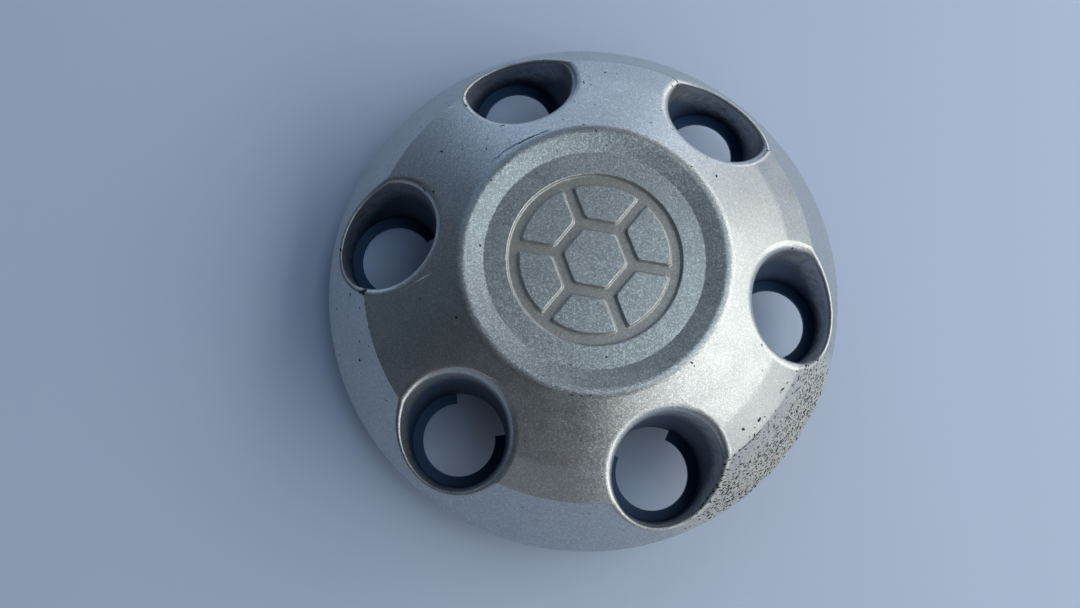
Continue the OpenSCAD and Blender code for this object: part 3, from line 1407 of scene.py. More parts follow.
@dataclass(frozen=True)
class Chips:
    """Spots where paint is knocked off down to the black plastic.

    Args:
        name: Name of the piece.
        spots: Radius and bearing of each, its length and width, and its turn from the circumference
            in degrees.
        seed: Fixes the irregular outlines.
        columns: Corners of each outline.
        ragged: How far an outline strays from an ellipse.
        rings: Size and lift of each ring of a flake, from its top round to its underside.
        thickness: Lift of a flake's middle, above and below the surface.
    """

    name: str
    spots: tuple[tuple[float, float, float, float, float], ...]
    seed: int
    columns: int = 18
    ragged: float = 0.16
    rings: tuple[Pair, ...] = ((0.45, 0.03), (0.85, 0.02), (1.0, -0.01), (0.6, -0.05))
    thickness: Pair = (0.03, -0.06)

    def build(self, surface: Surface) -> bpy.types.Object:
        """Builds thin closed flakes that lie on the surface.

        Args:
            surface: Where they lie.

        Returns:
            The piece.
        """
        chance = np.random.default_rng(self.seed)
        work = Patchwork()
        n, (above, below) = self.columns, self.thickness
        angle = np.linspace(0, 2 * math.pi, n, endpoint=False)
        for radius, bearing, long, wide, turn in self.spots:
            centre, normal = surface.under(radius, bearing)
            a, t = math.radians(bearing), math.radians(turn)
            round_it = np.array([-math.sin(a), math.cos(a), 0.0])
            round_it = unit(round_it - normal * float(round_it @ normal))
            down = np.cross(normal, round_it)
            along = round_it * math.cos(t) + down * math.sin(t)
            across = down * math.cos(t) - round_it * math.sin(t)
            swing = sum(
                chance.uniform(-self.ragged, self.ragged) * np.cos(k * angle + chance.uniform(*ANY_PHASE))
                for k in (2, 3, 5, 7)
            )
            edge_x, edge_y = np.cos(angle) * (1 + swing), np.sin(angle) * (1 + swing)
            outline = edge_x[:, None] * along * long / 2 + edge_y[:, None] * across * wide / 2
            spots = [centre[None]] + [centre + outline * size for size, _ in self.rings] + [centre[None]]
            lifts = [[above]] + [[lift] * n for _, lift in self.rings] + [[below]]
            points, normals = surface.laid(np.concatenate(spots), np.concatenate(lifts))
            signs = np.array([1.0] * (1 + 3 * n) + [-1.0] * (n + 1))
            quads = grid_faces(n, len(self.rings), True)
            faces: list[tuple[int, ...]] = [tuple(i + 1 for i in quad) for quad in quads]
            last = 1 + n * (len(self.rings) - 1)
            faces += [(0, 1 + i, 1 + (i + 1) % n) for i in range(n)]
            faces += [(len(points) - 1, last + i, last + (i + 1) % n) for i in range(n)]
            work.add(points, normals * signs[:, None], faces)
        return work.build(self.name)


@dataclass(frozen=True)
class Strokes:
    """Scratches and scuffs: thin raised-edge lines along the surface.

    Args:
        name: Name of the piece.
        lines: For each line its width in mm, then radius and bearing of the places that it passes.
        seed: Fixes the unevenness.
        step: Distance between stations in mm.
        smoothing: How often a line with a bend is smoothed.
        uneven: Least and greatest width, as parts of the line's own.
        wander: How far a line strays sideways, in widths.
        ring: Place across and lift of each edge of the ribbon.
    """

    name: str
    lines: tuple[Line, ...]
    seed: int
    step: float = 0.35
    smoothing: int = 6
    uneven: Pair = (0.45, 1.3)
    wander: float = 0.25
    ring: tuple[Pair, ...] = ((-1.0, -0.01), (0.0, 0.025), (1.0, -0.01), (0.0, -0.05))

    def _stations(self, surface: Surface, line: tuple[Pair, ...]) -> np.ndarray:
        """Spaces points evenly along a line.

        Args:
            surface: Where it lies.
            line: The places that it passes.

        Returns:
            The points.
        """
        knots = np.array([surface.under(r, b)[0] for r, b in line])
        length = np.concatenate([[0], np.cumsum(np.linalg.norm(np.diff(knots, axis=0), axis=1))])
        count = max(4, math.ceil(length[-1] / self.step))
        at = np.linspace(0, length[-1], count + 1)
        even = np.column_stack([np.interp(at, length, knots[:, k]) for k in range(3)])
        for _ in range(self.smoothing if len(line) > 2 else 0):
            even[1:-1] = (even[:-2] + 2 * even[1:-1] + even[2:]) / 4
        return even

    def build(self, surface: Surface) -> bpy.types.Object:
        """Builds the lines as thin closed ribbons.

        Args:
            surface: Where they lie.

        Returns:
            The piece.
        """
        chance = np.random.default_rng(self.seed)
        work = Patchwork()
        for width, line in self.lines:
            middle = self._stations(surface, line)
            count = len(middle)
            _, normal = surface.laid(middle, np.zeros(count))
            side = unit(np.cross(np.gradient(middle, axis=0), normal))
            taper = np.sin(np.linspace(0, math.pi, count)) ** 0.5
            least, under = 0.004, -0.03
            half = width / 2 * taper * chance.uniform(*self.uneven, count) + least
            strayed = chance.uniform(-self.wander, self.wander, count) * width
            middle = middle + side * strayed[:, None]
            flat = np.concatenate([middle + side * (half * across)[:, None] for across, _ in self.ring])
            points, _ = surface.laid(flat, np.repeat([lift for _, lift in self.ring], count))
            normals = np.concatenate(
                [unit(normal * (1 if lift > under else -1) + side * across) for across, lift in self.ring]
            )
            faces: list[tuple[int, ...]] = []
            for k in range(4):
                a, b = k * count, (k + 1) % 4 * count
                faces += [(a + i, a + i + 1, b + i + 1, b + i) for i in range(count - 1)]
            faces += [tuple(k * count for k in range(4)), tuple(k * count - 1 for k in range(1, 5))]
            work.add(points, normals, faces)
        return work.build(self.name)


@dataclass(frozen=True)
class Scuff:
    """A band of short strokes where something rubbed along the cap.

    Args:
        path: Radius and bearing of the places that it passes.
        spread: How far strokes lie from the path in mm.
        strokes: How many there are.
        length: Shortest and longest stroke in mm.
        width: Thinnest and widest stroke in mm.
        skew: How far strokes turn from the path in degrees.
    """

    path: tuple[Pair, ...]
    spread: float
    strokes: int
    length: Pair
    width: Pair
    skew: float = 6.0

    def lines(self, seed: int) -> tuple[Line, ...]:
        """Scatters the strokes along the path.

        Args:
            seed: Fixes the scatter.

        Returns:
            A width and two ends for each stroke.
        """
        chance = np.random.default_rng(seed)
        polar = np.array(self.path)
        flat = polar[:, :1] * directions(np.radians(polar[:, 1]))
        reach = np.concatenate([[0], np.cumsum(np.linalg.norm(np.diff(flat, axis=0), axis=1))])

        def on_path(distance: float) -> np.ndarray:
            """Finds the place on the path at a distance from its start."""
            return np.array([np.interp(distance, reach, flat[:, k]) for k in range(2)])

        out = []
        for _ in range(self.strokes):
            at = reach[-1] * (0.5 + 0.5 * float(np.clip(chance.normal(0, 0.5), -1, 1)))
            here, near = on_path(at), on_path(at + 0.5) - on_path(at - 0.5)
            turn = math.radians(chance.normal(0, self.skew)) + math.atan2(near[1], near[0])
            run = np.array([math.cos(turn), math.sin(turn)]) * chance.uniform(*self.length) / 2
            here = here + np.array([-math.sin(turn), math.cos(turn)]) * chance.normal(0, self.spread)
            ends = [here - run, here + run]
            width = float(chance.uniform(*self.width))
            polar_ends = tuple((float(np.hypot(*e)), math.degrees(math.atan2(e[1], e[0]))) for e in ends)
            out.append((width, polar_ends))
        return tuple(out)


def evaluated_copy(
    tree: bpy.types.NodeTree, host: bpy.types.Object, name: str, values: Mapping[str, object]
) -> bpy.types.Object:
    """Runs a geometry node tree once and keeps its result as a plain mesh.

    Args:
        tree: The tree.
        host: The object that the tree's modifier sits on.
        name: Name for the result.
        values: Values of the tree's inputs, by their names.

    Returns:
        An object with the result.
    """
    modifier = host.modifiers.new("build", "NODES")
    modifier.node_group = tree
    sockets = {item.name: item.identifier for item in tree.interface.items_tree if item.in_out == "INPUT"}
    for key, value in values.items():
        modifier[sockets[key]] = value
    bpy.context.view_layer.update()
    graph = bpy.context.evaluated_depsgraph_get()
    finished = host.evaluated_get(graph)
    mesh = bpy.data.meshes.new_from_object(finished, preserve_all_data_layers=True, depsgraph=graph)
    host.modifiers.remove(modifier)
    mesh.name = name
    return placed(name, mesh)


def new_geometry_tree(
    name: str, inputs: Sequence[tuple[str, str]]
) -> tuple[bpy.types.NodeTree, bpy.types.Node]:
    """Starts a geometry node tree.

    Args:
        name: Its name.
        inputs: Name and socket type of each input after the geometry.

    Returns:
        The tree and its input node.
    """
    tree = bpy.data.node_groups.new(name, "GeometryNodeTree")
    tree.interface.new_socket("Geometry", in_out="INPUT", socket_type="NodeSocketGeometry")
    for label, kind in inputs:
        tree.interface.new_socket(label, in_out="INPUT", socket_type=kind)
    tree.interface.new_socket("Geometry", in_out="OUTPUT", socket_type="NodeSocketGeometry")
    return tree, add_node(tree, "NodeGroupInput")


def ring_tree() -> bpy.types.NodeTree:
    """Makes the tree that copies a part round the cap's axis.

    Returns:
        The tree.
    """
    inputs = [("Count", "NodeSocketInt"), ("Material", "NodeSocketMaterial")]
    tree, source = new_geometry_tree("ring_of_copies", inputs)
    put, out = partial(add_node, tree), source.outputs
    spots = put("GeometryNodePoints", None, {"Count": out["Count"]})
    index = put("GeometryNodeInputIndex")
    step = put("ShaderNodeMath", {"operation": "DIVIDE"}, {0: 2 * math.pi, 1: out["Count"]})
    turn = put("ShaderNodeMath", {"operation": "MULTIPLY"}, {0: index.outputs[0], 1: step.outputs[0]})
    euler = put("ShaderNodeCombineXYZ", None, {"Z": turn.outputs[0]})
    spin = put("FunctionNodeEulerToRotation", None, {0: euler.outputs[0]})
    spread = {"Points": spots.outputs[0], "Instance": out["Geometry"], "Rotation": spin.outputs[0]}
    copies = put("GeometryNodeInstanceOnPoints", None, spread)
    real = put("GeometryNodeRealizeInstances", None, {"Geometry": copies.outputs[0]})
    dressed = put(
        "GeometryNodeSetMaterial", None, {"Geometry": real.outputs[0], "Material": out["Material"]}
    )
    put("NodeGroupOutput", None, {0: dressed.outputs[0]})
    return tree


def pits_tree() -> bpy.types.NodeTree:
    """Makes the tree that scatters flat irregular pits over a surface, along the circumference.

    Returns:
        The tree.
    """
    inputs = [
        ("Where", "NodeSocketString"),
        ("Pits per Square Metre", "NodeSocketFloat"),
        ("Smallest", "NodeSocketFloat"),
        ("Largest", "NodeSocketFloat"),
        ("Seed", "NodeSocketInt"),
        ("Material", "NodeSocketMaterial"),
    ]
    tree, source = new_geometry_tree("scattered_pits", inputs)
    put, out = partial(add_node, tree), source.outputs
    # A pit turns up to half a radian from the circumference, and its outline is pushed about.
    turn_limit, slimmest, rarity, half_thickness = 0.55, 0.5, 3.0, 0.03 * MM
    dents_per_mm, push = 2.6, 0.5 * MM
    vector, chance = "ShaderNodeVectorMath", "FunctionNodeRandomValue"
    where = put("GeometryNodeInputNamedAttribute", {"data_type": "FLOAT"}, {"Name": out["Where"]})
    pits_here = {0: where.outputs[0], 1: out["Pits per Square Metre"]}
    density = put("ShaderNodeMath", {"operation": "MULTIPLY"}, pits_here)
    scatter = {"Mesh": out["Geometry"], "Density": density.outputs[0], "Seed": out["Seed"]}
    spots = put("GeometryNodeDistributePointsOnFaces", None, scatter)
    place = put("GeometryNodeInputPosition")
    tangent = put(vector, {"operation": "CROSS_PRODUCT"}, {0: (0.0, 0.0, 1.0), 1: place.outputs[0]})
    kept = put(
        "GeometryNodeStoreNamedAttribute",
        {"data_type": "FLOAT_VECTOR"},
        {"Geometry": spots.outputs["Points"], "Name": "tangent", "Value": tangent.outputs[0]},
    )
    around = put("GeometryNodeInputNamedAttribute", {"data_type": "FLOAT_VECTOR"}, {"Name": "tangent"})
    faced = put(
        "FunctionNodeAxesToRotation",
        {"primary_axis": "Z", "secondary_axis": "X"},
        {0: spots.outputs["Normal"], 1: around.outputs[0]},
    )
    index = put("GeometryNodeInputIndex").outputs[0]
    turns = {2: -turn_limit, 3: turn_limit, "ID": index, "Seed": 3}
    twist = put(chance, {"data_type": "FLOAT"}, turns)
    spin = put("ShaderNodeCombineXYZ", None, {"Z": twist.outputs[1]})
    spun = put("FunctionNodeEulerToRotation", None, {0: spin.outputs[0]})
    both = {0: faced.outputs[0], 1: spun.outputs[0]}
    turned = put("FunctionNodeRotateRotation", {"rotation_space": "LOCAL"}, both)
    any_size = put(chance, {"data_type": "FLOAT"}, {2: 0.0, 3: 1.0, "Seed": 5})
    rare = put("ShaderNodeMath", {"operation": "POWER"}, {0: any_size.outputs[1], 1: rarity})
    span = put("ShaderNodeMapRange", None, {0: rare.outputs[0], 3: out["Smallest"], 4: out["Largest"]})
    slim = put(chance, {"data_type": "FLOAT"}, {2: slimmest, 3: 1.0, "Seed": 8})
    breadth = put("ShaderNodeMath", {"operation": "MULTIPLY"}, {0: span.outputs[0], 1: slim.outputs[1]})
    size = put("ShaderNodeCombineXYZ", None, {0: span.outputs[0], 1: breadth.outputs[0], 2: half_thickness})
    lump = put("GeometryNodeMeshIcoSphere", None, {"Radius": 1.0, "Subdivisions": 2})
    lumps = {
        "Points": kept.outputs[0],
        "Instance": lump.outputs[0],
        "Rotation": turned.outputs[0],
        "Scale": size.outputs[0],
    }
    pits = put("GeometryNodeInstanceOnPoints", None, lumps)
    real = put("GeometryNodeRealizeInstances", None, {"Geometry": pits.outputs[0]})
    dents = {"Vector": place.outputs[0], "Scale": dents_per_mm / MM, "Detail": 1.0}
    rough = put("ShaderNodeTexNoise", None, dents)
    centred = put(vector, {"operation": "SUBTRACT"}, {0: rough.outputs["Color"], 1: (0.5, 0.5, 0.5)})
    pushed = put(vector, {"operation": "SCALE"}, {0: centred.outputs[0], "Scale": push})
    face = put("GeometryNodeInputNormal").outputs[0]
    beside = put(vector, {"operation": "CROSS_PRODUCT"}, {0: pushed.outputs[0], 1: face})
    ragged = put("GeometryNodeSetPosition", None, {"Geometry": real.outputs[0], "Offset": beside.outputs[0]})
    finish = {"Geometry": ragged.outputs[0], "Material": out["Material"]}
    dressed = put("GeometryNodeSetMaterial", None, finish)
    put("NodeGroupOutput", None, {0: dressed.outputs[0]})
    return tree


def blank_material(name: str) -> tuple[bpy.types.Material, AddNode]:
    """Starts a material without nodes.

    Args:
        name: The real finish.

    Returns:
        The material, and the function that adds a node to it.
    """
    made = bpy.data.materials.new(name)
    made.use_nodes = True
    made.node_tree.nodes.clear()
    return made, partial(add_node, made.node_tree)


@dataclass(frozen=True)
class CapFinish:
    """Silver flake paint over black moulded plastic, with dust in the grooves.

    Args:
        flake_dark: Darkest flakes.
        flake_light: Lightest flakes.
        flake_mm: Size of a flake cluster.
        sparkle: How far the flakes tip.
        rarity: How rare the lightest flakes are.
        metallic: How far the lacquer shines like metal.
        matt: Least and greatest roughness of the lacquer.
        coat: Weight and roughness of the clear coat.
        clouds_per_mm: Scale of the clouds in the lacquer's roughness.
        spatter_per_mm: Scale of the spatter where the cover runs out.
        brown_patches_per_mm: Scale of the patches of the brown band on the well walls.
        bare: Bare black plastic, and how matt it is.
        dust: Dust on the floor of the grooves.
        dirt_and_reflection: Brown on the walls of the wells: road soiling, and painted warm reflection.
        bore_blue_shade: Blue painted shade on the bare plastic deep in the wells.
        dulled: Paint blasted matt by road grit.
        blasting: Power by which that paint's share rises, and the most of it.
        dusting: The most that dust covers.
        brown_band_cover: The least and the most that this brown covers where it lies.
    """

    flake_dark: str = "#ABB1B5"
    flake_light: str = "#D4D8DA"
    flake_mm: float = 0.3
    sparkle: float = 0.085
    rarity: float = 3.0
    metallic: float = 0.88
    matt: Pair = (0.36, 0.44)
    coat: Pair = (0.2, 0.32)
    clouds_per_mm: float = 0.12
    spatter_per_mm: float = 1.6
    brown_patches_per_mm: float = 0.35
    bare: Look = ("#161D28", 0.5)
    dust: Look = ("#8C8881", 0.85)
    # Brown for the well walls: road soiling, and painted warm reflection.
    dirt_and_reflection: Look = ("#4B4640", 0.9)
    # Navy blue painted shade for the bare plastic deep in the wells.
    bore_blue_shade: str = "#2C5580"
    dulled: Look = ("#BDBFBC", 0.75)
    blasting: Pair = (0.35, 0.7)
    dusting: float = 0.5
    brown_band_cover: Pair = (0.1, 0.55)

    def _lacquer(self, put: AddNode, in_mm: Socket) -> Socket:
        """Makes the lacquer: bright flakes that tip a little, under a thin clear coat.

        Args:
            put: Adds a node to the material.
            in_mm: Place on the object in millimetres.

        Returns:
            Its surface.
        """
        vector = "ShaderNodeVectorMath"
        normal = put("ShaderNodeNewGeometry").outputs["Normal"]
        flakes = put("ShaderNodeTexVoronoi", None, {"Vector": in_mm, "Scale": 1 / self.flake_mm})
        centred = put(vector, {"operation": "SUBTRACT"}, {0: flakes.outputs["Color"], 1: (0.5, 0.5, 0.5)})
        nudge = put(vector, {"operation": "SCALE"}, {0: centred.outputs[0], "Scale": self.sparkle})
        tipped = put(vector, {"operation": "ADD"}, {0: normal, 1: nudge.outputs[0]})
        flake_normal = put(vector, {"operation": "NORMALIZE"}, {0: tipped.outputs[0]})
        grey = put("ShaderNodeSeparateColor", None, {0: flakes.outputs["Color"]})
        rare = put("ShaderNodeMath", {"operation": "POWER"}, {0: grey.outputs[0], 1: self.rarity})
        tones = {0: rare.outputs[0], 6: linear(self.flake_dark), 7: linear(self.flake_light)}
        tone = put("ShaderNodeMix", {"data_type": "RGBA"}, tones)
        cloud = put("ShaderNodeTexNoise", None, {"Vector": in_mm, "Scale": self.clouds_per_mm, "Detail": 3.0})
        smooth, rough = self.matt
        spread = put("ShaderNodeMapRange", None, {0: cloud.outputs[0], 1: 0.3, 2: 0.7, 3: smooth, 4: rough})
        coat_weight, coat_roughness = self.coat
        looks = {
            "Base Color": tone.outputs[2],
            "Metallic": self.metallic,
            "Roughness": spread.outputs[0],
            "Normal": flake_normal.outputs[0],
            "Coat Weight": coat_weight,
            "Coat Roughness": coat_roughness,
        }
        return put("ShaderNodeBsdfPrincipled", None, looks).outputs[0]

    def _plastic(self, put: AddNode) -> Socket:
        """Makes the bare plastic, with blue painted shade where it lies deep in the bores.

        Args:
            put: Adds a node to the material.

        Returns:
            Its surface.
        """
        # Mixes in the blue painted shade where the bores lie deep.
        bore = put("ShaderNodeAttribute", {"attribute_name": Layer.BORE.value})
        colour, roughness = self.bare
        tones = {0: bore.outputs["Fac"], 6: linear(colour), 7: linear(self.bore_blue_shade)}
        tone = put("ShaderNodeMix", {"data_type": "RGBA"}, tones)
        looks = {"Base Color": tone.outputs[2], "Roughness": roughness}
        return put("ShaderNodeBsdfPrincipled", None, looks).outputs[0]

    def _cover(self, put: AddNode, in_mm: Socket) -> Socket:
        """Works out how far lacquer covers the plastic, with a spattered border.

        Args:
            put: Adds a node to the material.
            in_mm: Place on the object in millimetres.

        Returns:
            The cover.
        """
        reach = 0.18
        cover = put("ShaderNodeAttribute", {"attribute_name": Layer.PAINT.value})
        drops = {"Vector": in_mm, "Scale": self.spatter_per_mm, "Detail": 4.0}
        spatter = put("ShaderNodeTexNoise", None, drops)
        swing = {0: spatter.outputs[0], 1: 0.25, 2: 0.75, 3: -reach, 4: reach}
        break_up = put("ShaderNodeMapRange", None, swing)
        both = {0: cover.outputs["Fac"], 1: break_up.outputs[0]}
        summed = put("ShaderNodeMath", {"operation": "ADD"}, both)
        border = {0: summed.outputs[0], 1: 0.1, 2: 0.8}
        return put("ShaderNodeMapRange", {"interpolation_type": "SMOOTHSTEP"}, border).outputs[0]

    def _layer(self, put: AddNode, under: Socket, look: Look, amount: Socket) -> Socket:
        """Lays a dull layer over a surface.

        Args:
            put: Adds a node to the material.
            under: The surface below.
            look: The layer's colour and how matt it is.
            amount: How far it covers.

        Returns:
            The covered surface.
        """
        colour, roughness = look
        over = put("ShaderNodeBsdfPrincipled", None, {"Base Color": linear(colour), "Roughness": roughness})
        return put("ShaderNodeMixShader", None, {0: amount, 1: under, 2: over.outputs[0]}).outputs[0]

    def material(self) -> bpy.types.Material:
        """Builds the material: metallic silver paint, worn through where its cover is thin.

        Returns:
            The material.
        """
        # Silver flake lacquer sprayed on black moulded ABS: a soft metal shine with a fine sparkle,
        # dull black where it runs out, with blue painted shade on that plastic deep in the wells, and dulled
        # further by grit, dust and a brown band on the well walls: road soiling and painted warm reflection.
        made, put = blank_material("silver_flake_paint")
        place = put("ShaderNodeTexCoord").outputs["Object"]
        in_mm = put("ShaderNodeVectorMath", {"operation": "SCALE"}, {0: place, "Scale": 1 / MM}).outputs[0]
        surfaces = {0: self._cover(put, in_mm), 1: self._plastic(put), 2: self._lacquer(put, in_mm)}
        skin = put("ShaderNodeMixShader", None, surfaces).outputs[0]
        grit = put("ShaderNodeAttribute", {"attribute_name": Layer.GRIT.value})
        power, most = self.blasting
        spread = put("ShaderNodeMath", {"operation": "POWER"}, {0: grit.outputs["Fac"], 1: power})
        blasted = put("ShaderNodeMath", {"operation": "MULTIPLY"}, {0: spread.outputs[0], 1: most})
        skin = self._layer(put, skin, self.dulled, blasted.outputs[0])
        groove = put("ShaderNodeAttribute", {"attribute_name": Layer.GROOVE.value})
        part = {0: groove.outputs["Fac"], 1: self.dusting}
        settled = put("ShaderNodeMath", {"operation": "MULTIPLY"}, part)
        skin = self._layer(put, skin, self.dust, settled.outputs[0])
        # Brown band on the well walls in patches: road soiling, and painted warm reflection.
        grime = put("ShaderNodeAttribute", {"attribute_name": Layer.GRIME.value})
        patchy = put("ShaderNodeTexNoise", None, {"Vector": in_mm, "Scale": self.brown_patches_per_mm, "Detail": 5.0})
        thin, thick = self.brown_band_cover
        swing = {0: patchy.outputs[0], 1: 0.35, 2: 0.7, 3: thin, 4: thick}
        patches = put("ShaderNodeMapRange", None, swing)
        both = {0: grime.outputs["Fac"], 1: patches.outputs[0]}
        brown_share = put("ShaderNodeMath", {"operation": "MULTIPLY"}, both)
        skin = self._layer(put, skin, self.dirt_and_reflection, brown_share.outputs[0])
        put("ShaderNodeOutputMaterial", None, {"Surface": skin})
        return made


@dataclass(frozen=True)
class WornFinish:
    """What shows where paint is hurt: bare moulded plastic, or lacquer scratched white.

    Args:
        name: The real finish.
        dark: Its darkest tone.
        light: Its lightest tone.
        grain_mm: Size of its grain.
        roughness: How matt it is.
        metallic: How far flakes in it shine.
        relief_mm: Height of its grain.
    """

    name: str
    dark: str
    light: str
    grain_mm: float
    roughness: float
    metallic: float = 0.0
    relief_mm: float = 0.05

    def material(self) -> bpy.types.Material:
        """Builds the material: a fine uneven grain in tone and in relief.

        Returns:
            The material.
        """
        made, put = blank_material(self.name)
        place = put("ShaderNodeTexCoord").outputs["Object"]
        pattern = {"Vector": place, "Scale": 1 / (self.grain_mm * MM), "Detail": 3.0}
        grain = put("ShaderNodeTexNoise", None, pattern).outputs[0]
        tones = {0: grain, 6: linear(self.dark), 7: linear(self.light)}
        tone = put("ShaderNodeMix", {"data_type": "RGBA"}, tones)
        bumps = {"Strength": 0.5, "Distance": self.relief_mm * MM, "Height": grain}
        relief = put("ShaderNodeBump", None, bumps)
        looks = {
            "Base Color": tone.outputs[2],
            "Metallic": self.metallic,
            "Roughness": self.roughness,
            "Normal": relief.outputs[0],
        }
        shader = put("ShaderNodeBsdfPrincipled", None, looks)
        put("ShaderNodeOutputMaterial", None, {"Surface": shader.outputs[0]})
        return made


@dataclass(frozen=True)
class PlainFinish:
    """A finish of one colour.

    Args:
        name: The real finish.
        colour: Its colour.
        roughness: How matt it is.
    """

    name: str
    colour: str
    roughness: float

    def material(self) -> bpy.types.Material:
        """Builds the material.

        Returns:
            The material.
        """
        made = bpy.data.materials.new(self.name)
        made.use_nodes = True
        shader = made.node_tree.nodes["Principled BSDF"]
        shader.inputs["Base Color"].default_value = linear(self.colour)
        shader.inputs["Roughness"].default_value = self.roughness
        return made


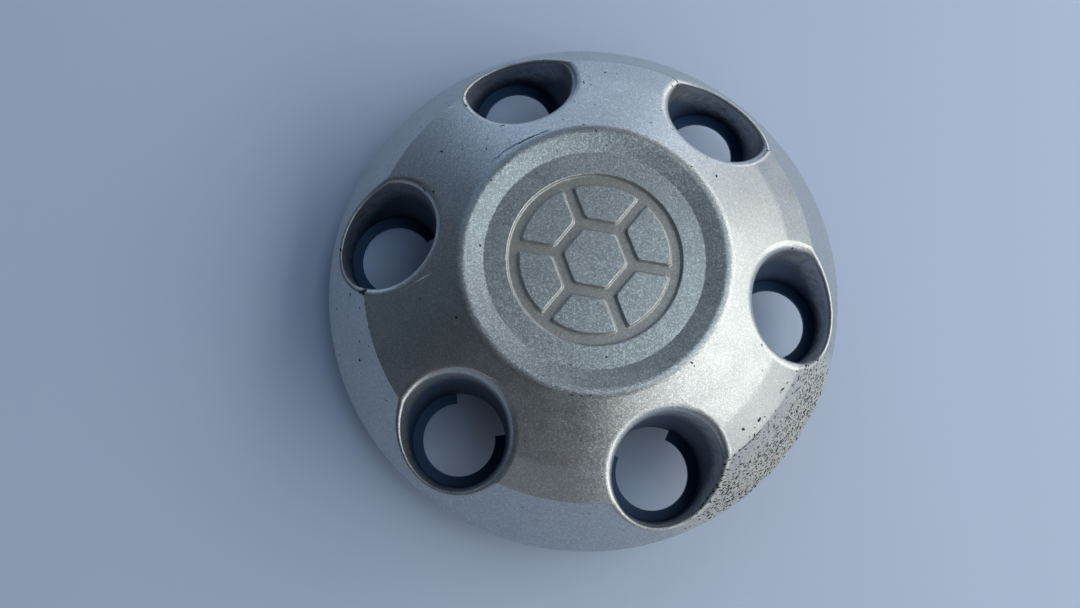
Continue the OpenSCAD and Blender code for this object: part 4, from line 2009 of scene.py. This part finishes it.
@dataclass(frozen=True)
class Wear:
    """Hurt paint: pits from road grit, chips, scuffs and scratches.

    Args:
        chips: Where paint is knocked off.
        scuffs: Where something rubbed along the cap.
        dark_lines: Scratches down to the black plastic.
        pale_lines: Scratches that stay in the lacquer.
        pits_per_mm2: Density of the pits where grit hit hardest.
        pit_mm: Half the length of the smallest and the largest pit.
        specks_per_mm2: Density of the specks where they are thickest.
        speck_mm: Half the length of the smallest and the largest speck.
        seed: Fixes the scatter.
    """

    chips: Chips = Chips(
        "paint_chips",
        (
            (86.8, 181.6, 1.4, 0.9, 29), (73.5, 194.9, 3.5, 3.0, -24), (74.8, 194.9, 2.6, 1.2, 67),
            (79.5, 194.2, 1.4, 1.1, 14), (75.6, 198.7, 0.9, 0.7, -17), (78.4, 206.2, 1.0, 0.7, -13),
            (80.6, 210.0, 1.9, 0.9, 67), (75.1, 208.6, 0.9, 0.5, 41), (45.1, 213.4, 1.1, 0.7, 42),
            (58.9, 165.9, 2.8, 0.4, 33), (54.7, 165.4, 1.1, 0.7, 70), (69.2, 135.8, 1.9, 0.9, 82),
            (52.6, 132.4, 1.8, 0.7, -19), (66.8, 95.2, 1.0, 0.8, 90), (67.0, 91.9, 0.6, 0.5, 15),
            (64.2, 99.9, 0.6, 0.5, 1), (61.4, 101.7, 1.9, 0.5, -86), (60.6, 152.0, 1.5, 0.7, 84),
            (55.1, 147.9, 0.8, 0.5, -62), (51.3, 139.7, 0.6, 0.5, 56), (48.5, 142.9, 1.5, 0.4, 60),
            (53.9, 106.6, 0.4, 0.5, -10), (42.4, 103.9, 0.8, 0.5, -6), (40.0, 98.7, 0.6, 0.5, -77),
            (35.5, 118.2, 0.6, 0.5, -60), (35.7, 93.4, 0.4, 0.4, -32), (31.9, 133.3, 0.4, 0.5, -80),
            (72.7, 75.4, 3.6, 0.7, 0), (69.4, 75.5, 1.0, 0.7, -44), (67.7, 74.9, 0.4, 0.4, -38),
            (71.2, 70.7, 2.1, 0.9, 60), (69.9, 70.5, 0.4, 0.4, -32), (69.4, 69.6, 0.6, 0.5, -39),
            (70.9, 69.5, 0.3, 0.4, -16), (72.8, 44.4, 1.2, 0.8, 62), (46.5, 44.7, 1.4, 0.8, -38),
            (49.5, 69.0, 0.6, 0.5, 33), (41.5, 53.5, 0.6, 0.5, 27), (70.5, 327.3, 1.9, 1.1, 12),
            (71.3, 328.9, 0.8, 0.5, -78), (68.7, 322.4, 1.6, 0.9, -77), (72.1, 322.6, 0.8, 0.5, -74),
            (73.2, 318.7, 1.2, 0.8, -70), (71.1, 325.1, 0.8, 0.4, -84), (71.0, 337.3, 1.8, 0.8, -22),
            (71.3, 339.4, 1.1, 0.5, -18), (70.9, 336.3, 0.8, 0.4, 88), (73.8, 340.2, 0.9, 0.5, 89),
            (73.4, 320.1, 2.0, 0.5, -6), (73.2, 322.1, 1.8, 0.5, 4), (73.3, 325.1, 3.0, 0.5, 0),
            (73.4, 328.6, 1.9, 0.4, -4), (84.5, 312.4, 1.4, 0.8, 7), (88.0, 312.5, 1.8, 1.2, -24),
            (84.6, 309.1, 1.4, 0.8, -38), (87.7, 307.3, 2.0, 0.8, -40), (89.6, 310.3, 0.9, 0.5, -20),
            (87.4, 308.9, 0.8, 0.5, -2), (78.5, 330.4, 2.0, 0.8, -30), (82.8, 327.7, 2.0, 0.7, 20),
            (79.1, 315.3, 1.0, 0.7, -27), (82.4, 311.6, 0.9, 0.5, -3), (78.0, 313.2, 0.8, 0.5, -3),
            (42.2, 321.4, 1.1, 0.7, -82), (43.4, 321.5, 0.6, 0.5, -82), (65.6, 14.4, 1.0, 0.8, 62),
            (57.3, 343.7, 0.8, 0.7, 81), (34.7, 183.6, 0.8, 0.7, 30), (30.0, 285.6, 0.8, 0.7, -59),
            (41.6, 270.0, 1.1, 0.4, 3), (41.5, 273.4, 0.8, 0.4, 20), (41.1, 277.2, 1.1, 0.4, 10),
            (73.1, 198.5, 0.9, 0.4, 4), (73.1, 201.6, 0.6, 0.4, -8), (73.1, 204.4, 1.0, 0.4, 0),
            (73.1, 208.3, 0.6, 0.4, 10), (73.1, 212.2, 0.9, 0.3, 0),
        ),
        11,
    )
    scuffs: tuple[Scuff, ...] = (
        Scuff(
            ((43.4, 145.0), (43.3, 138.0), (42.9, 131.5), (42.6, 124.7), (42.7, 119.5)),
            spread=0.3,
            strokes=34,
            length=(0.8, 3.4),
            width=(0.07, 0.22),
        ),
        Scuff(((64.0, 98.0), (58.0, 125.0), (56.0, 148.0)), 4.0, 22, (0.5, 2.0), (0.04, 0.1), skew=70.0),
        Scuff(((73.0, 74.0), (72.9, 79.0)), 0.15, 8, (0.8, 2.4), (0.06, 0.16)),
        Scuff(((73.2, 317.6), (73.5, 322.0), (73.6, 326.6)), 0.3, 18, (0.5, 1.8), (0.1, 0.3)),
        Scuff(((86.0, 306.0), (87.0, 326.0), (84.0, 346.0)), 3.2, 60, (0.4, 1.8), (0.06, 0.2), skew=14.0),
    )
    dark_lines: tuple[Line, ...] = (
        (0.75, ((43.2, 135.7), (42.9, 131.5), (42.6, 124.7), (42.7, 119.5))),
        (0.4, ((43.6, 145.0), (43.4, 140.3), (43.2, 135.7))),
        (0.45, ((73.1, 318.2), (73.6, 320.0), (73.4, 322.1))),
        (0.6, ((73.4, 322.6), (73.6, 324.2), (73.7, 325.9))),
        (0.16, ((43.3, 135.8), (46.4, 134.0))),
        (0.1, ((43.6, 138.4), (46.0, 138.0))),
        (0.13, ((73.2, 101.0), (73.1, 96.0), (73.1, 90.0), (73.1, 84.0), (73.0, 78.5))),
    )
    pale_lines: tuple[Line, ...] = (
        (0.13, ((61.1, 198.3), (58.0, 197.3), (55.1, 196.3))),
        (0.42, ((55.4, 196.4), (52.6, 195.5), (49.2, 194.4))),
        (0.2, ((63.0, 163.2), (61.6, 162.3), (59.7, 161.6))),
        (0.2, ((62.5, 223.9), (60.7, 224.1))),
        (0.22, ((56.9, 225.2), (52.8, 228.0), (49.7, 231.4))),
        (0.38, ((49.8, 231.2), (48.2, 235.4), (46.9, 242.1))),
        (0.1, ((50.5, 214.0), (49.6, 217.0))),
    )
    pits_per_mm2: float = 1.58
    pit_mm: Pair = (0.11, 0.6)
    specks_per_mm2: float = 0.02
    speck_mm: Pair = (0.09, 0.34)
    seed: int = 4

    def build(self, shell: bpy.types.Object, skin: Section) -> list[bpy.types.Object]:
        """Builds the marks on the finished shell.

        Args:
            shell: The cap's shell.
            skin: The section of its painted side.

        Returns:
            The pieces, dressed.
        """
        surface = Surface.of(shell, skin)
        # Black moulded ABS, laid bare and slightly chalky: nearly no shine next to the paint.
        bare = WornFinish("bare_black_abs", "#080B10", "#1A2028", 0.3, 0.8).material()
        # Clear lacquer crushed by a scratch: it turns whitish, and torn-up flakes in it catch the light.
        crushed = WornFinish("crushed_lacquer", "#D0D3D5", "#FFFFFF", 0.25, 0.5, 0.5, 0.3).material()
        rubbed = [line for k, scuff in enumerate(self.scuffs) for line in scuff.lines(self.seed + k)]
        pieces = [
            self.chips.build(surface),
            Strokes("dark_scuffs", (*self.dark_lines, *rubbed), seed=21).build(surface),
            Strokes("pale_scratches", self.pale_lines, seed=22).build(surface),
        ]
        for piece, finish in zip(pieces, (bare, bare, crushed), strict=True):
            piece.data.materials.append(finish)
        tree = pits_tree()
        for name, layer, density, (small, large) in (
            ("grit_pits", Layer.GRIT, self.pits_per_mm2, self.pit_mm),
            ("dark_specks", Layer.SPECK, self.specks_per_mm2, self.speck_mm),
        ):
            values = {
                "Where": layer.value,
                "Pits per Square Metre": density / MM**2,
                "Smallest": small * MM,
                "Largest": large * MM,
                "Seed": self.seed,
                "Material": bare,
            }
            pieces.append(evaluated_copy(tree, shell, name, values))
        return pieces


@dataclass(frozen=True)
class SoftBox:
    """A soft rectangular light.

    Args:
        name: Its name.
        bearing: Direction it shines from, in degrees from +X.
        height: Its elevation in degrees.
        distance: Distance from the cap in metres.
        size: Width and height in metres.
        power: Power in watts.
        colour: Its colour.
        aim_z: Height in metres of the point on the cap's axis that it shines at.
    """

    name: str
    bearing: float
    height: float
    distance: float
    size: Pair
    power: float
    colour: str
    aim_z: float = 0.04

    def build(self) -> bpy.types.Object:
        """Builds the light, turned to the cap.

        Returns:
            The light's object.
        """
        data = bpy.data.lights.new(self.name, "AREA")
        data.shape = "RECTANGLE"
        data.size, data.size_y = self.size
        data.energy = self.power
        data.color = linear(self.colour)[:3]
        made = placed(self.name, data)
        a, e = math.radians(self.bearing), math.radians(self.height)
        away = Vector((math.cos(a) * math.cos(e), math.sin(a) * math.cos(e), math.sin(e)))
        made.location = away * self.distance + Vector((0, 0, self.aim_z))
        made.rotation_euler = away.to_track_quat("Z", "Y").to_euler()
        return made


@dataclass(frozen=True)
class Studio:
    """Floor, light and the camera at the photo's angle.

    Args:
        floor: The floor's colour.
        floor_half: Half the floor's width in metres.
        ambient: Colour of the world's soft light.
        ambient_strength: Its strength.
        lens_mm: The camera's focal length.
        sensor_mm: Width of its sensor.
        clip: Nearest and farthest thing that it shows, in metres.
        spot: Where it stands, in metres.
        right: The direction of the picture's right side.
        up: The direction of its upper side.
        back: The direction from the picture to the viewer.
        lights: The soft boxes.
    """

    floor: str = "#C5D6F3"
    floor_half: float = 1.6
    ambient: str = "#6F90C8"
    ambient_strength: float = 0.02
    lens_mm: float = 26.01
    sensor_mm: float = 36.0
    clip: Pair = (0.01, 20.0)
    spot: tuple[float, float, float] = (-0.010098, -0.056962, 0.29545)
    right: tuple[float, float, float] = (0.98529, 0.17035, 0.01384)
    up: tuple[float, float, float] = (-0.17014, 0.96993, 0.17401)
    back: tuple[float, float, float] = (0.01622, -0.17381, 0.98465)
    lights: tuple[SoftBox, ...] = (
        SoftBox("window", 4, 31, 1.6, (2.1, 1.2), 21.0, "#FFFEF5"),
        SoftBox("window_top", 8, 72, 1.6, (0.9, 0.5), 3.1, "#E0F4FF"),
        SoftBox("sky_right", 58, 24, 1.6, (0.9, 0.8), 4.0, "#FFFEFE"),
        SoftBox("sky_behind", 94, 8, 1.6, (2.3, 0.5), 5.0, "#D2E7FF"),
        SoftBox("sky_behind_left", 124, 26, 1.6, (0.7, 0.5), 0.85, "#B8D2FF"),
        SoftBox("room_behind", 130, 50, 1.6, (1.0, 0.8), 1.0, "#A8D8FF"),
        SoftBox("room_left", 168, 22, 1.6, (2.2, 0.8), 0.55, "#D4F0FF"),
        SoftBox("room_front", -110, 14, 1.6, (1.6, 0.6), 1.05, "#F1F1F8"),
        SoftBox("front_fill", -50, 22, 1.6, (0.8, 0.6), 3.6, "#FFFDFD"),
    )

    def _world(self) -> None:
        """Lights the scene with soft blue, behind a white background."""
        world = bpy.data.worlds.new("studio")
        bpy.context.scene.world = world
        world.use_nodes = True
        world.node_tree.nodes.clear()
        put = partial(add_node, world.node_tree)
        dim = {"Color": linear(self.ambient), "Strength": self.ambient_strength}
        soft = put("ShaderNodeBackground", None, dim)
        white = put("ShaderNodeBackground", None, {"Color": linear("#FFFFFF"), "Strength": 1.0})
        seen = put("ShaderNodeLightPath").outputs["Is Camera Ray"]
        mix = put("ShaderNodeMixShader", None, {0: seen, 1: soft.outputs[0], 2: white.outputs[0]})
        put("ShaderNodeOutputWorld", None, {"Surface": mix.outputs[0]})

    def _floor(self) -> None:
        """Lays a plain pale floor under the clip ends."""
        mesh = bpy.data.meshes.new("floor")
        side = self.floor_half
        corners = [(-side, -side, 0), (side, -side, 0), (side, side, 0), (-side, side, 0)]
        mesh.from_pydata(corners, [], [(0, 1, 2, 3)])
        # Pale matt laminate: it takes a soft shadow and shows nearly no shine.
        mesh.materials.append(PlainFinish("pale_matt_floor", self.floor, 0.7).material())
        made = placed("floor", mesh)

    def _camera(self) -> None:
        """Sets the camera where the photo was taken from."""
        data = bpy.data.cameras.new("camera")
        data.lens, data.sensor_width = self.lens_mm, self.sensor_mm
        data.clip_start, data.clip_end = self.clip
        made = placed("camera", data)
        turn = Matrix((self.right, self.up, self.back)).transposed()
        made.matrix_world = Matrix.Translation(Vector(self.spot)) @ turn.to_4x4()
        bpy.context.scene.camera = made

    def build(self) -> None:
        """Builds floor, lights and camera."""
        self._world()
        self._floor()
        for light in self.lights:
            light.build()
        self._camera()
        bpy.context.scene.view_settings.view_transform = "Standard"


def main() -> None:
    """Builds the scene in order."""
    logging.basicConfig(level=logging.INFO, format="%(name)s %(message)s")
    for left_over in list(bpy.data.objects):
        bpy.data.objects.remove(left_over)
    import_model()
    shape = CapShape()
    finish = CapFinish().material()
    shell = Moulding(shape).build()
    shell.data.materials.append(finish)
    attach(shell, BODY)
    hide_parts(CAD_NODE)
    ring = ring_tree()
    for part, axis in small_parts(shape):
        single = part.build(axis.value)
        copies = evaluated_copy(ring, single, part.name + "_ring", {"Count": WELLS, "Material": finish})
        bpy.data.objects.remove(single)
        copies.name = part.name
        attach(copies, BODY)
        LOG.info("%s: %d faces", copies.name, len(copies.data.polygons))
    for mark in Wear().build(shell, shape.outer_skin()):
        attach(mark, BODY)
        LOG.info("%s: %d faces", mark.name, len(mark.data.polygons))
    Studio().build()


if __name__ == "__main__":
    main()
